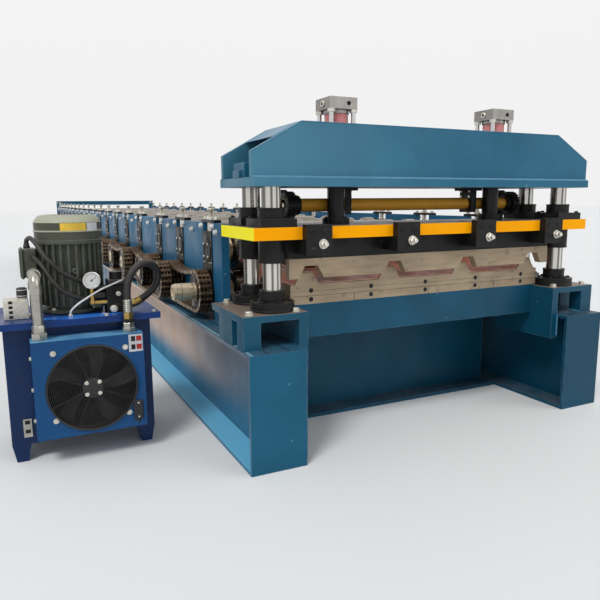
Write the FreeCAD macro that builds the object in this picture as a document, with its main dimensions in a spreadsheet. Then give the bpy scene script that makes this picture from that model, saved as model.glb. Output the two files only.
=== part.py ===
"""Roll forming machine for ribbed roofing sheet, with its guillotine cutter and hydraulic unit.

Frame: X runs across the machine, Y back along it from the cutter to the entry end, Z up from the
floor. The origin is on the floor under the middle of the front cross beam. Lengths are in mm.
"""
import FreeCAD
import Part
import math
import os
import Sketcher
from FreeCAD import Rotation, Vector

# Counts
STATIONS = 18
STATIONS_BEFORE_GAP = 3
RIBBED_STATIONS = 1
CROSS_BEAMS = 5
GEAR_TEETH = 23
SPROCKET_TEETH = 12
FAN_BLADES = 5
GUARD_RINGS = 4
GUARD_SPOKES = 8
MOTOR_FINS = 28
FAN_PITCH = 65

# Tooth form, in modules and in shares of a quarter pitch
TOOTH_TIP = 0.8
TOOTH_ROOT = 1.1
GEAR_ROOT_SHARE = 1.35
GEAR_FOOT_SHARE = 0.97
GEAR_TIP_SHARE = 0.45
RACK_ROOT_SHARE = 1.35
RACK_TIP_SHARE = 0.5
RACK_TEETH_ABOVE = 4
RACK_TEETH_BELOW = 4

# Driving dimensions
SIZES = {
    # Base frame
    "beam_spacing": 1400,
    "beam_height": 400,
    "beam_flange_width": 200,
    "beam_flange": 13,
    "beam_web": 8,
    "beam_front": 480,
    "end_plate": 12,
    "entry_overhang": 160,
    # Roll stands
    "station_pitch": 430,
    "first_station": 174,
    "station_gap": 90,
    "slot_width": 120,
    "end_post": 113,
    "stand_plate": 32,
    "stand_height": 392,
    "bearing_width": 40,
    "bearing_split": 596,
    "upper_bearing_top": 758,
    "bridge_length": 170,
    "bridge": 12,
    "screw_flats": 30,
    "screw_height": 34,
    # Rolls and sheet
    "lower_shaft_height": 516,
    "roll_radius": 72,
    "upper_roll_radius": 90,
    "journal_radius": 35,
    "roll_half_length": 620,
    "rib_pitch": 345,
    "rib_top": 46,
    "rib_foot": 94,
    "rib_height": 43,
    "sheet_edge": 576,
    "sheet": 2,
    "seat": 0.3,
    # Chain drive
    "sprocket_radius": 73,
    "chain_width": 50,
    "chain_plate": 18,
    "drive_gap": 5,
    "hub_radius": 40,
    "hub_length": 100,
    # Cutter
    "cutter_centre": 265,
    "post_spacing": 1320,
    "post_depth": 178,
    "post_radius": 32,
    "stool_inner": 568,
    "stool_outer": 798,
    "stool_depth": 321,
    "stool_set_back": 41,
    "stool_height": 513,
    "stool_plate": 22,
    "stool_leg": 60,
    "stool_back_leg": 133,
    "stool_leg_inset": 79,
    "stool_drop": 100,
    "disc_radius": 75,
    "disc": 32,
    "collar_radius": 43,
    "collar": 38,
    "die_half_length": 581,
    "die_bottom": 518,
    "die_pan": 587,
    "die_depth": 128,
    "blade_beam_height": 121,
    "blade_thickness": 30,
    "blade_gap": 6,
    "blade_opening": 27,
    "blade_height": 68,
    "blade_overhang": 20,
    "notch_clearance": 2,
    "holder_depth": 90,
    "slide_half_width": 750,
    "slide_bottom": 752,
    "slide_plate": 41,
    "slide_depth": 319,
    "bush_radius": 45,
    "bush_below": 78,
    "bush_above": 62,
    "bush_flange": 27,
    "bush_flange_side": 128,
    "running_fit": 0.05,
    "clamp_width": 95,
    "clamp_depth": 30,
    "clamp_drop": 50,
    "clamp_lip": 8,
    "clamp_pitch": 355,
    "crown_bottom": 923,
    "crown_plate": 29,
    "crown_half_width": 749,
    "crown_front_inset": 14,
    "crown_web": 20,
    "crown_kink": 80,
    "crown_top": 1130,
    "crown_top_half_width": 574,
    "cover_drop": 49,
    "cover_plate": 6,
    "cover_room": 10,
    "cylinder_offset": 366,
    "cylinder_radius": 42,
    "cylinder_top": 1190,
    "cylinder_foot": 18,
    "cap_side": 108,
    "cap_height": 40,
    "tie_rod_radius": 8,
    "tie_rod_offset": 44,
    "ram_rod_radius": 32,
    "rod_flange_radius": 50,
    "rod_flange": 22,
    "rod_clearance": 2,
    "rod_top": 1150,
    # Levelling shaft with its gears and racks
    "level_shaft_height": 861,
    "level_shaft_depth": 206,
    "level_shaft_radius": 24,
    "gear_offset": 531,
    "gear_module": 4,
    "gear_width": 36,
    "rack_thickness": 22,
    "rack_top": 917,
    "bracket_offset": 300,
    "bracket_width": 26,
    "bracket_side": 72,
    # Entry guide
    "entry_height": 885,
    "entry_beam": 60,
    "entry_half_width": 700,
    "entry_gap": 20,
    "entry_roller_radius": 40,
    # Hydraulic unit
    "tank_left": 1487,
    "tank_right": 1006,
    "tank_front": 30,
    "tank_depth": 295,
    "tank_bottom": 60,
    "tank_top": 465,
    "lid_thickness": 22,
    "lid_overhang": 33,
    "foot_width": 60,
    "foot_taper": 12,
    "cooler_left": 1408,
    "cooler_right": 1050,
    "cooler_depth": 92,
    "cooler_bottom": 96,
    "cooler_top": 430,
    "cooler_core": 22,
    "fan_motor": 24,
    "fan_radius": 146,
    "fan_centre_x": 1225,
    "fan_centre_z": 257,
    "fan_clearance": 8,
    "fan_hub_radius": 32,
    "fan_depth": 26,
    "fan_blade_width": 64,
    "fan_blade": 3,
    "fan_blade_root": 6,
    "guard_wire": 4,
    "guard_hub": 20,
    "guard_lap": 6,
    "motor_x": 1250,
    "motor_y": 130,
    "motor_radius": 112,
    "motor_core_radius": 98,
    "motor_cover_wall": 4,
    "motor_fin": 6,
    "motor_base_radius": 85,
    "motor_base": 30,
    "motor_body_height": 216,
    "motor_cover_height": 100,
    "motor_cover_chamfer": 22,
    "terminal_width": 54,
    "terminal_depth": 110,
    "terminal_height": 106,
    "terminal_bottom": 614,
    "manifold_x": 1108,
    "manifold_y": 30,
    "manifold_side": 78,
    "manifold_height": 96,
    "valve_radius": 22,
    "valve_height": 48,
    "gauge_x": 1195,
    "gauge_y": -12,
    "gauge_z": 608,
    "gauge_radius": 30,
    "gauge_depth": 22,
    "gauge_pipe_radius": 8,
    "elbow_wall": 3,
    "gauge_pipe_rise": 40,
    "return_pipe_radius": 20,
    "return_pipe_top": 640,
    "return_pipe_x": 1378,
    "return_reach": 130,
    "pipe_gap": 4,
    "union_flats": 46,
    "union_height": 50,
}

doc = FreeCAD.newDocument("RollFormingMachine")
sheet = doc.addObject("Spreadsheet::Sheet", "Sizes")
for row, (alias, value) in enumerate(SIZES.items(), start=1):
    sheet.set(f"A{row}", alias)
    sheet.set(f"B{row}", str(value))
    sheet.setAlias(f"B{row}", alias)
doc.recompute()


class Size:
    """A size in mm together with the spreadsheet formula that gives it."""

    def __init__(self, value, formula, driven=True):
        self.value = float(value)
        self.formula = formula
        self.driven = driven

    def joined(self, other, sign, result):
        return Size(result, f"({self.formula} {sign} {other.formula})", self.driven or other.driven)

    def __add__(self, other):
        other = as_size(other)
        return self.joined(other, "+", self.value + other.value)

    def __sub__(self, other):
        other = as_size(other)
        return self.joined(other, "-", self.value - other.value)

    def __mul__(self, other):
        other = as_size(other)
        return self.joined(other, "*", self.value * other.value)

    def __truediv__(self, other):
        other = as_size(other)
        return self.joined(other, "/", self.value / other.value)

    def __neg__(self):
        return Size(-self.value, f"(0 - {self.formula})", self.driven)

    def __radd__(self, other):
        return as_size(other) + self

    def __rsub__(self, other):
        return as_size(other) - self

    def __rmul__(self, other):
        return as_size(other) * self


def as_size(number):
    """A plain number as a size."""
    if isinstance(number, Size):
        return number
    return Size(number, f"{number:.9g}" if number >= 0 else f"(0 - {-number:.9g})", False)


class Sheet:
    """Each driving dimension as an attribute."""

    def __getattr__(self, alias):
        return Size(SIZES[alias], f"Sizes.{alias}")


s = Sheet()
parts = []


def bind(thing, name, size):
    """Set a property to a size and keep it bound to the spreadsheet."""
    size = as_size(size)
    setattr(thing, name, size.value)
    if size.driven:
        thing.setExpression(name, size.formula)


def place(thing, base, rotation=Rotation()):
    """Put an object at a base point made of three sizes."""
    base = [as_size(size) for size in base]
    thing.Placement = FreeCAD.Placement(Vector(*[size.value for size in base]), rotation)
    for axis, size in zip("xyz", base):
        if size.driven:
            thing.setExpression(f".Placement.Base.{axis}", size.formula)


def keep(thing, label):
    """Name an object as one of the machine's sub-parts."""
    thing.Label = label
    parts.append(thing)
    return thing


def block(low, high):
    """A box between two corners."""
    box = doc.addObject("Part::Box", "Block")
    bind(box, "Length", high[0] - as_size(low[0]))
    bind(box, "Width", high[1] - as_size(low[1]))
    bind(box, "Height", high[2] - as_size(low[2]))
    place(box, low)
    return box


def rod(base, radius, length, direction=(0, 0, 1)):
    """A cylinder from a base point along a direction."""
    cylinder = doc.addObject("Part::Cylinder", "Rod")
    bind(cylinder, "Radius", radius)
    bind(cylinder, "Height", length)
    place(cylinder, base, Rotation(Vector(0, 0, 1), Vector(*direction)))
    return cylinder


def group(members):
    """Separate like solids kept together as one object."""
    compound = doc.addObject("Part::Compound", "Group")
    compound.Links = members
    return compound


def cut(base, tools):
    """An object with other objects taken out of it."""
    tool = tools[0] if len(tools) == 1 else group(tools)
    result = doc.addObject("Part::Cut", "Cut")
    result.Base = base
    result.Tool = tool
    return result


def fuse(members):
    """Touching objects made into one solid."""
    result = doc.addObject("Part::MultiFuse", "Fusion")
    result.Shapes = members
    result.Refine = True
    return result


def origin_plane(body, role):
    return next(item for item in body.Origin.OriginFeatures if item.Role == role)


def polygon_sketch(body, plane, outline):
    """A closed sketch whose corners are held by bound distances from the origin."""
    sketch = body.newObject("Sketcher::SketchObject", "Outline")
    sketch.AttachmentSupport = [(origin_plane(body, plane), "")]
    sketch.MapMode = "FlatFace"
    corners = [(as_size(x), as_size(y)) for x, y in outline]
    spots = [Vector(x.value, y.value, 0) for x, y in corners]
    count = len(spots)
    for index in range(count):
        sketch.addGeometry(Part.LineSegment(spots[index], spots[(index + 1) % count]), False)
    for index in range(count):
        sketch.addConstraint(Sketcher.Constraint("Coincident", index, 2, (index + 1) % count, 1))
    for index, (x, y) in enumerate(corners):
        for kind, size in (("DistanceX", x), ("DistanceY", y)):
            number = sketch.addConstraint(Sketcher.Constraint(kind, -1, 1, index, 1, size.value))
            if size.driven:
                sketch.setExpression(f"Constraints[{number}]", size.formula)
    return sketch


def new_body():
    return doc.addObject("PartDesign::Body", "Body")


def prism(plane, outline, length, base, reverse=None):
    """A padded outline. It grows along +X from YZ, along +Y from XZ and along +Z from XY."""
    body = new_body()
    pad = body.newObject("PartDesign::Pad", "Pad")
    pad.Profile = polygon_sketch(body, plane, outline)
    bind(pad, "Length", length)
    pad.Reversed = plane == "XZ_Plane"
    place(body, base)
    return body


def turned(outline, base, direction=(0, 0, 1)):
    """An outline of (radius, height) corners turned about its height axis."""
    body = new_body()
    sketch = polygon_sketch(body, "XZ_Plane", outline)
    turn = body.newObject("PartDesign::Revolution", "Turn")
    turn.Profile = sketch
    turn.ReferenceAxis = (sketch, ["V_Axis"])
    turn.Angle = 360
    place(body, base, Rotation(Vector(0, 0, 1), Vector(*direction)))
    return body


def hexagon(base, flats, height, direction=(0, 0, 1)):
    """A hexagonal bar across its flats."""
    bar = doc.addObject("Part::Prism", "Hexagon")
    bar.Polygon = 6
    bind(bar, "Circumradius", flats / math.sqrt(3))
    bind(bar, "Height", height)
    place(bar, base, Rotation(Vector(0, 0, 1), Vector(*direction)))
    return bar


def ring(base, outer, inner, length, direction=(0, 0, 1)):
    """A straight sleeve."""
    outline = [(inner, as_size(0)), (outer, as_size(0)), (outer, length), (inner, length)]
    return turned(outline, base, direction)


def both_sides(size):
    return (-as_size(size), as_size(size))


# Places worked out from the driving dimensions
half_beams = s.beam_spacing / 2
web_half = s.beam_web / 2
stand_top = s.beam_height + s.stand_height
plate_half = s.stand_plate / 2
upper_shaft_height = s.lower_shaft_height + s.roll_radius + s.sheet + s.upper_roll_radius + 2 * s.seat
sheet_height = s.lower_shaft_height + s.roll_radius + s.seat
cutter_y = -s.cutter_centre
post_x = s.post_spacing / 2
post_front = cutter_y - s.post_depth / 2
post_back = cutter_y + s.post_depth / 2
stool_front = s.stool_set_back - s.beam_front
stool_back = stool_front + s.stool_depth
die_front = cutter_y - s.die_depth / 2
slide_front = cutter_y - s.slide_depth / 2
slide_top = s.slide_bottom + s.slide_plate
crown_top = s.crown_bottom + s.crown_plate


def station_y(index):
    """Distance of a roll station's shafts from the origin."""
    gap = s.station_gap if index >= STATIONS_BEFORE_GAP else as_size(0)
    return s.first_station + index * s.station_pitch + gap


last_station = station_y(STATIONS - 1)
stands_back = last_station + s.slot_width / 2 + s.end_post
beam_back = stands_back + s.entry_overhang


def i_outline(width, height, flange, web):
    """The outline of an I-section standing on its lower flange."""
    half = width / 2
    core = web / 2
    shoulder = height - flange
    right = [(half, as_size(0)), (half, flange), (core, flange), (core, shoulder), (half, shoulder),
             (half, height)]
    left = [(-x, y) for x, y in reversed(right)]
    return right + left


def base_frame():
    """Two long I-beams on the floor, tied by cross beams, with closed front ends."""
    outline = i_outline(s.beam_flange_width, s.beam_height, s.beam_flange, s.beam_web)
    for side, name in ((-1, "base_beam_left"), (1, "base_beam_right")):
        middle = side * half_beams
        beam = prism("XZ_Plane", outline, s.beam_front + beam_back, (middle, -s.beam_front, 0))
        low = (middle - s.beam_flange_width / 2, -s.beam_front - s.end_plate, 0)
        high = (middle + s.beam_flange_width / 2, -s.beam_front, s.beam_height)
        keep(fuse([beam, block(low, high)]), name)
    reach = half_beams - s.beam_flange_width / 2
    cross = []
    for index in range(CROSS_BEAMS):
        y = index * (last_station / (CROSS_BEAMS - 1))
        cross.append(prism("YZ_Plane", outline, 2 * reach, (-reach, y, 0)))
    keep(group(cross), "cross_beams")


def stands():
    """Upright plates on each beam with a slot between them for each station's bearings."""
    for side, name in ((-1, "stand_plates_left"), (1, "stand_plates_right")):
        low_x = side * half_beams - plate_half
        high_x = side * half_beams + plate_half
        edges = []
        start = station_y(0) - s.slot_width / 2 - s.end_post
        for index in range(STATIONS):
            edges.append((start, station_y(index) - s.slot_width / 2))
            start = station_y(index) + s.slot_width / 2
        edges.append((start, stands_back))
        plates = [block((low_x, low, s.beam_height), (high_x, high, stand_top)) for low, high in edges]
        keep(group(plates), name)


def bearings():
    """A lower and an upper bearing block in each slot, with a bridge and a screw over them."""
    lower, upper, bridges, screws = [], [], [], []
    half = s.bearing_width / 2
    for side in (-1, 1):
        middle = side * half_beams
        for index in range(STATIONS):
            front = station_y(index) - s.slot_width / 2
            back = front + s.slot_width
            lower.append(block((middle - half, front, s.beam_height), (middle + half, back, s.bearing_split)))
            upper.append(block((middle - half, front, s.bearing_split + s.seat),
                               (middle + half, back, s.upper_bearing_top)))
            bridges.append(block((middle - plate_half, station_y(index) - s.bridge_length / 2, stand_top),
                                 (middle + plate_half, station_y(index) + s.bridge_length / 2,
                                  stand_top + s.bridge)))
            spot = (middle, station_y(index), stand_top + s.bridge)
            screws.append(hexagon(spot, s.screw_flats, s.screw_height))
            shank = (middle, station_y(index), s.upper_bearing_top)
            screws.append(hexagon(shank, s.screw_flats, stand_top - s.upper_bearing_top))
    keep(group(lower + upper), "bearing_blocks")
    keep(group(bridges + screws), "adjusting_screws")


def ribbed_profile(radius, rise):
    """Half of a roll's outline, from its middle outwards: pans with one raised or sunk rib each."""
    corners = []
    for middle in (s.rib_pitch / 2, 3 * s.rib_pitch / 2):
        corners += [(radius, middle - s.rib_foot / 2), (radius + rise, middle - s.rib_top / 2),
                    (radius + rise, middle + s.rib_top / 2), (radius, middle + s.rib_foot / 2)]
    return corners


def ribbed_roll(radius, rise, y, height):
    """A full-depth forming roll on its shaft."""
    end = half_beams - s.bearing_width / 2
    half = ribbed_profile(radius, rise)
    right = half + [(radius, s.roll_half_length), (s.journal_radius, s.roll_half_length),
                    (s.journal_radius, end), (as_size(0), end)]
    left = [(r, -x) for r, x in reversed(right)]
    return turned(left + right, (0, y, height), (1, 0, 0))


def rolls():
    """The forming rolls. The stations next to the cutter hold the full rib depth."""
    end = half_beams - s.bearing_width / 2
    lower, upper = [], []
    for index in range(STATIONS):
        y = station_y(index)
        if index < RIBBED_STATIONS:
            lower.append(ribbed_roll(s.roll_radius, s.rib_height, y, s.lower_shaft_height))
            upper.append(ribbed_roll(s.upper_roll_radius, -s.rib_height, y, upper_shaft_height))
        else:
            lower.append(rod((-end, y, s.lower_shaft_height), s.roll_radius, 2 * end, (1, 0, 0)))
            upper.append(rod((-end, y, upper_shaft_height), s.upper_roll_radius, 2 * end, (1, 0, 0)))
    keep(group(lower), "lower_rolls")
    keep(group(upper), "upper_rolls")


def chain_drive():
    """Sprockets on the lower shafts outside the left stands, joined two by two by chains."""
    face = -half_beams - s.bearing_width / 2 - s.drive_gap
    lane = s.chain_width + s.drive_gap
    wheels, chains = [], []
    turn = 2 * math.pi / SPROCKET_TEETH
    toothed = s.sprocket_radius - s.seat
    wheel_outline = [(toothed * math.cos(step * turn), toothed * math.sin(step * turn))
                     for step in range(SPROCKET_TEETH)]
    lanes = [[] for _ in range(STATIONS)]
    for index in range(STATIONS - 1):
        near, far = station_y(index), station_y(index + 1)
        start = face - lane * (1 + index % 2)
        for station in (index, index + 1):
            lanes[station].append(start)
        inner = s.sprocket_radius
        outer = s.sprocket_radius + s.chain_plate
        loops = []
        for radius in (outer, inner):
            corners = []
            for step in range(SPROCKET_TEETH // 2 + 1):
                angle = math.pi / 2 - step * turn
                corners.append((far + radius * math.cos(angle), radius * math.sin(angle)))
            for step in range(SPROCKET_TEETH // 2 + 1):
                angle = -math.pi / 2 - step * turn
                corners.append((near + radius * math.cos(angle), radius * math.sin(angle)))
            loops.append(corners)
        band = prism("YZ_Plane", loops[0], s.chain_width, (start, 0, s.lower_shaft_height))
        hole = prism("YZ_Plane", loops[1], s.chain_width, (start, 0, s.lower_shaft_height))
        chains.append(cut(band, [hole]))
    for index, starts in enumerate(lanes):
        y = station_y(index)
        width = 2 * lane if index not in (0, STATIONS - 1) else lane * (1 + (index and (index - 1) % 2))
        pieces = [rod((face - width, y, s.lower_shaft_height), s.journal_radius,
                      width + s.drive_gap, (1, 0, 0))]
        pieces += [prism("YZ_Plane", wheel_outline, s.chain_width, (start, y, s.lower_shaft_height))
                   for start in starts]
        if index == 0:
            pieces.append(rod((face - lane - s.hub_length, y, s.lower_shaft_height), s.hub_radius,
                              s.hub_length, (1, 0, 0)))
        wheels.append(fuse(pieces))
    keep(group(wheels), "sprockets")
    keep(group(chains), "drive_chains")


def sheet_corners(lift):
    """The ribbed line of the sheet from its left edge to its right edge."""
    corners = [(-s.sheet_edge, lift)]
    for step in (-3, -1, 1, 3):
        middle = step * s.rib_pitch / 2
        corners += [(middle - s.rib_foot / 2, lift), (middle - s.rib_top / 2, lift + s.rib_height),
                    (middle + s.rib_top / 2, lift + s.rib_height), (middle + s.rib_foot / 2, lift)]
    return corners + [(s.sheet_edge, lift)]


def formed_sheet():
    """The ribbed sheet lying in the last rolls with its end at the lower blade."""
    outline = sheet_corners(as_size(0)) + list(reversed(sheet_corners(s.sheet)))
    start = die_front + s.blade_gap
    keep(prism("XZ_Plane", outline, station_y(0) + s.slot_width - start, (0, start, sheet_height)),
         "formed_sheet")


def corner_spots():
    """The four guide post centres."""
    return [(x, y) for x in (-post_x, post_x) for y in (post_front, post_back)]


def stool(side):
    """A welded table on the beam that carries two guide posts and one end of the lower blade."""
    outer = s.stool_outer
    inner = s.stool_inner
    under = s.stool_height - s.stool_plate

    def across(low, high):
        return (side * high, side * low) if side < 0 else (as_size(low), as_size(high))

    def piece(low_x, high_x, low_y, high_y, low_z, high_z):
        left, right = across(low_x, high_x)
        return block((left, low_y, low_z), (right, high_y, high_z))

    top = piece(inner, outer, stool_front, stool_back, under, s.stool_height)
    front_leg = piece(outer - s.stool_leg, outer, stool_front, stool_front + s.stool_leg,
                      s.beam_height, under)
    back_leg = piece(outer - s.stool_leg, outer, stool_back - s.stool_leg_inset - s.stool_back_leg,
                     stool_back - s.stool_leg_inset, s.beam_height, under)
    beam_edge = half_beams - s.beam_flange_width / 2
    side_plate = piece(inner, beam_edge, stool_front, stool_back, s.beam_height - s.stool_drop, under)
    return fuse([top, front_leg, back_leg, side_plate])


def guides():
    """Chromed posts in bolted sockets between the two stools and the crown."""
    keep(group([stool(-1), stool(1)]), "stools")
    posts, sockets = [], []
    bore = s.post_radius + s.running_fit
    top = s.disc + s.collar
    profile = [(bore, as_size(0)), (s.disc_radius, as_size(0)), (s.disc_radius, s.disc),
               (s.collar_radius, s.disc), (s.collar_radius, top), (bore, top)]
    for x, y in corner_spots():
        posts.append(rod((x, y, s.stool_height), s.post_radius, s.crown_bottom - s.stool_height))
        sockets.append(turned(profile, (x, y, s.stool_height)))
    keep(group(posts), "guide_posts")
    keep(group(sockets), "post_sockets")


def rib_line(height, rise, grow=0):
    """Points along a ribbed edge from left to right. Positive grow widens each rib."""
    points = []
    for step in (-3, -1, 1, 3):
        middle = step * s.rib_pitch / 2
        foot = s.rib_foot / 2 + grow
        top = s.rib_top / 2 + grow
        points += [(middle - foot, height), (middle - top, height + rise),
                   (middle + top, height + rise), (middle + foot, height)]
    return points


def blades():
    """The ribbed lower die on its beam, and the notched upper blade that passes in front of it."""
    half = s.die_half_length
    height = s.die_pan - s.die_bottom
    zero = as_size(0)
    outline = [(-half, zero), (half, zero), (half, height)]
    outline += list(reversed(rib_line(height, s.rib_height))) + [(-half, height)]
    keep(prism("XZ_Plane", outline, s.die_depth, (0, die_front, s.die_bottom)), "lower_die")
    beam_low = s.die_bottom - s.blade_beam_height
    keep(block((-s.stool_inner, die_front, beam_low),
               (s.stool_inner, die_front + s.die_depth, s.die_bottom)), "blade_beam")

    blade_half = half + s.blade_overhang
    blade_front = die_front - s.blade_gap - s.blade_thickness
    blade_bottom = s.die_pan + s.blade_opening
    outline = [(-blade_half, zero)] + rib_line(zero, s.rib_height, s.notch_clearance)
    outline += [(blade_half, zero), (blade_half, s.blade_height), (-blade_half, s.blade_height)]
    keep(prism("XZ_Plane", outline, s.blade_thickness, (0, blade_front, blade_bottom)), "upper_blade")
    holder_low = blade_bottom + s.blade_height
    keep(block((-blade_half, blade_front, holder_low),
               (blade_half, blade_front + s.holder_depth, s.slide_bottom)), "blade_holder")

    front = -s.clamp_depth
    back = blade_front - slide_front
    outline = [(front, -s.clamp_drop), (back, -s.clamp_drop), (back, zero), (zero, zero),
               (zero, s.slide_plate + s.clamp_lip), (front, s.slide_plate + s.clamp_lip)]
    clamps = []
    for step in (-3, -1, 1, 3):
        x = step * s.clamp_pitch / 2 - s.clamp_width / 2
        clamps.append(prism("YZ_Plane", outline, s.clamp_width, (x, slide_front, s.slide_bottom)))
    keep(group(clamps), "blade_clamps")


def slide():
    """The moving plate with a flanged bush round each guide post and a rod from each cylinder."""
    plate = block((-s.slide_half_width, slide_front, s.slide_bottom),
                  (s.slide_half_width, slide_front + s.slide_depth, slide_top))
    holes, bushes, rods = [], [], []
    seat = s.bush_radius + s.running_fit
    bush_low = s.slide_bottom - s.bush_below
    bush_length = s.bush_below + s.slide_plate + s.bush_above
    half = s.bush_flange_side / 2
    for x, y in corner_spots():
        holes.append(rod((x, y, s.slide_bottom), seat, s.slide_plate))
        sleeve = rod((x, y, bush_low), s.bush_radius, bush_length)
        flange = block((x - half, y - half, slide_top), (x + half, y + half, slide_top + s.bush_flange))
        bore = rod((x, y, bush_low), s.post_radius + s.running_fit, bush_length)
        bushes.append(cut(fuse([sleeve, flange]), [bore]))
    keep(cut(plate, holes), "slide_plate")
    keep(group(bushes), "slide_bushes")
    zero = as_size(0)
    length = s.rod_top - slide_top
    profile = [(zero, zero), (s.rod_flange_radius, zero), (s.rod_flange_radius, s.rod_flange),
               (s.ram_rod_radius, s.rod_flange), (s.ram_rod_radius, length), (zero, length)]
    for side in (-1, 1):
        rods.append(turned(profile, (side * s.cylinder_offset, cutter_y, slide_top)))
    keep(group(rods), "cylinder_rods")


def crown():
    """The top beam: a base plate with two trapezoid webs and a folded cover between them."""
    zero = as_size(0)
    back = slide_front + s.slide_depth
    plate = block((-s.crown_half_width, slide_front, s.crown_bottom),
                  (s.crown_half_width, back, crown_top))
    bore = s.ram_rod_radius + s.rod_clearance
    holes = [rod((side * s.cylinder_offset, cutter_y, s.crown_bottom), bore, s.crown_plate)
             for side in (-1, 1)]
    keep(cut(plate, holes), "crown_base_plate")
    half = s.crown_half_width
    top_half = s.crown_top_half_width
    height = s.crown_top - crown_top
    outline = [(-half, zero), (half, zero), (half, s.crown_kink), (top_half, height),
               (-top_half, height), (-half, s.crown_kink)]
    front_web = slide_front + s.crown_front_inset
    back_web = back - s.crown_front_inset - s.crown_web
    webs = [prism("XZ_Plane", outline, s.crown_web, (0, y, crown_top)) for y in (front_web, back_web)]
    keep(group(webs), "crown_webs")

    slope = (half - top_half) / (height - s.crown_kink)
    low = height - s.cover_drop
    reach = top_half + slope * s.cover_drop
    wall = s.cover_plate
    outline = [(-reach, low), (-top_half, height), (top_half, height), (reach, low),
               (reach - slope * wall, low), (top_half - wall, height - wall),
               (wall - top_half, height - wall), (slope * wall - reach, low)]
    start = front_web + s.crown_web
    sheet_cover = prism("XZ_Plane", outline, back_web - start, (0, start, crown_top))
    room = s.cap_side / 2 + s.cover_room
    openings = []
    for side in (-1, 1):
        x = side * s.cylinder_offset
        openings.append(block((x - room, cutter_y - room, crown_top + height - 2 * wall),
                              (x + room, cutter_y + room, crown_top + height + wall)))
    keep(cut(sheet_cover, openings), "crown_cover")


def cylinders():
    """Two tie-rod cylinders that stand on the crown plate and drive the slide."""
    bore = s.ram_rod_radius + s.rod_clearance
    half = s.cap_side / 2
    caps, barrels, ties = [], [], []
    for side in (-1, 1):
        x = side * s.cylinder_offset
        foot_top = crown_top + s.cylinder_foot
        foot = cut(block((x - half, cutter_y - half, crown_top), (x + half, cutter_y + half, foot_top)),
                   [rod((x, cutter_y, crown_top), bore, s.cylinder_foot)])
        barrel = ring((x, cutter_y, foot_top), s.cylinder_radius, bore, s.cylinder_top - foot_top)
        cap = block((x - half, cutter_y - half, s.cylinder_top),
                    (x + half, cutter_y + half, s.cylinder_top + s.cap_height))
        ties += [rod((x + a * s.tie_rod_offset, cutter_y + b * s.tie_rod_offset, foot_top),
                     s.tie_rod_radius, s.cylinder_top - foot_top) for a in (-1, 1) for b in (-1, 1)]
        caps += [foot, cap]
        barrels.append(barrel)
    keep(group(caps), "cylinder_caps")
    keep(group(barrels), "cylinder_barrels")
    keep(group(ties), "cylinder_tie_rods")


def gear_teeth(radius_in, radius_out, half_root, half_tip):
    """Outlines of a spur gear's teeth, with a gap pointing along its first axis."""
    teeth = []
    foot = radius_in * GEAR_FOOT_SHARE
    for index in range(GEAR_TEETH):
        middle = (index + 0.5) * 2 * math.pi / GEAR_TEETH
        teeth.append([(radius * math.cos(middle + turn), radius * math.sin(middle + turn))
                      for radius, turn in ((foot, -half_root), (radius_out, -half_tip),
                                           (radius_out, half_tip), (foot, half_root))])
    return teeth


def levelling_gear():
    """The cross shaft whose two gears roll on racks of the slide and keep it level."""
    y = -s.level_shaft_depth
    z = s.level_shaft_height
    pitch_radius = s.gear_module * GEAR_TEETH / 2
    tip = pitch_radius + TOOTH_TIP * s.gear_module
    root = pitch_radius - TOOTH_ROOT * s.gear_module
    quarter_tooth = math.pi / (2 * GEAR_TEETH)
    teeth = gear_teeth(root, tip, quarter_tooth * GEAR_ROOT_SHARE, quarter_tooth * GEAR_TIP_SHARE)
    end = s.gear_offset + s.gear_width / 2
    shaft = rod((-end, y, z), s.level_shaft_radius, 2 * end, (1, 0, 0))
    keep(shaft, "level_shaft")
    gears, racks, brackets = [], [], []
    tooth_pitch = math.pi * s.gear_module
    for side in (-1, 1):
        start = side * s.gear_offset - s.gear_width / 2
        disc = rod((start, y, z), root, s.gear_width, (1, 0, 0))
        wheel = fuse([disc] + [prism("YZ_Plane", tooth, s.gear_width, (start, y, z)) for tooth in teeth])
        gears.append(cut(wheel, [rod((start, y, z), s.level_shaft_radius + s.running_fit,
                                     s.gear_width, (1, 0, 0))]))
        tips = pitch_radius - TOOTH_TIP * s.gear_module
        roots = pitch_radius + TOOTH_ROOT * s.gear_module
        outline = [(roots + s.rack_thickness, slide_top - z), (roots + s.rack_thickness, s.rack_top - z),
                   (roots, s.rack_top - z)]
        for index in range(RACK_TEETH_ABOVE, -RACK_TEETH_BELOW - 1, -1):
            middle = index * tooth_pitch
            outline += [(roots, middle + RACK_ROOT_SHARE * tooth_pitch / 4),
                        (tips, middle + RACK_TIP_SHARE * tooth_pitch / 4),
                        (tips, middle - RACK_TIP_SHARE * tooth_pitch / 4),
                        (roots, middle - RACK_ROOT_SHARE * tooth_pitch / 4)]
        outline.append((roots, slide_top - z))
        racks.append(prism("YZ_Plane", outline, s.gear_width, (start, y, z)))
        half = s.bracket_side / 2
        low_x = side * s.bracket_offset - s.bracket_width / 2
        body = block((low_x, y - half, z - half), (low_x + s.bracket_width, y + half, s.crown_bottom))
        brackets.append(cut(body, [rod((low_x, y, z), s.level_shaft_radius + s.running_fit,
                                       s.bracket_width, (1, 0, 0))]))
    keep(group(gears), "level_gears")
    keep(group(racks), "slide_racks")
    keep(group(brackets), "shaft_brackets")


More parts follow.
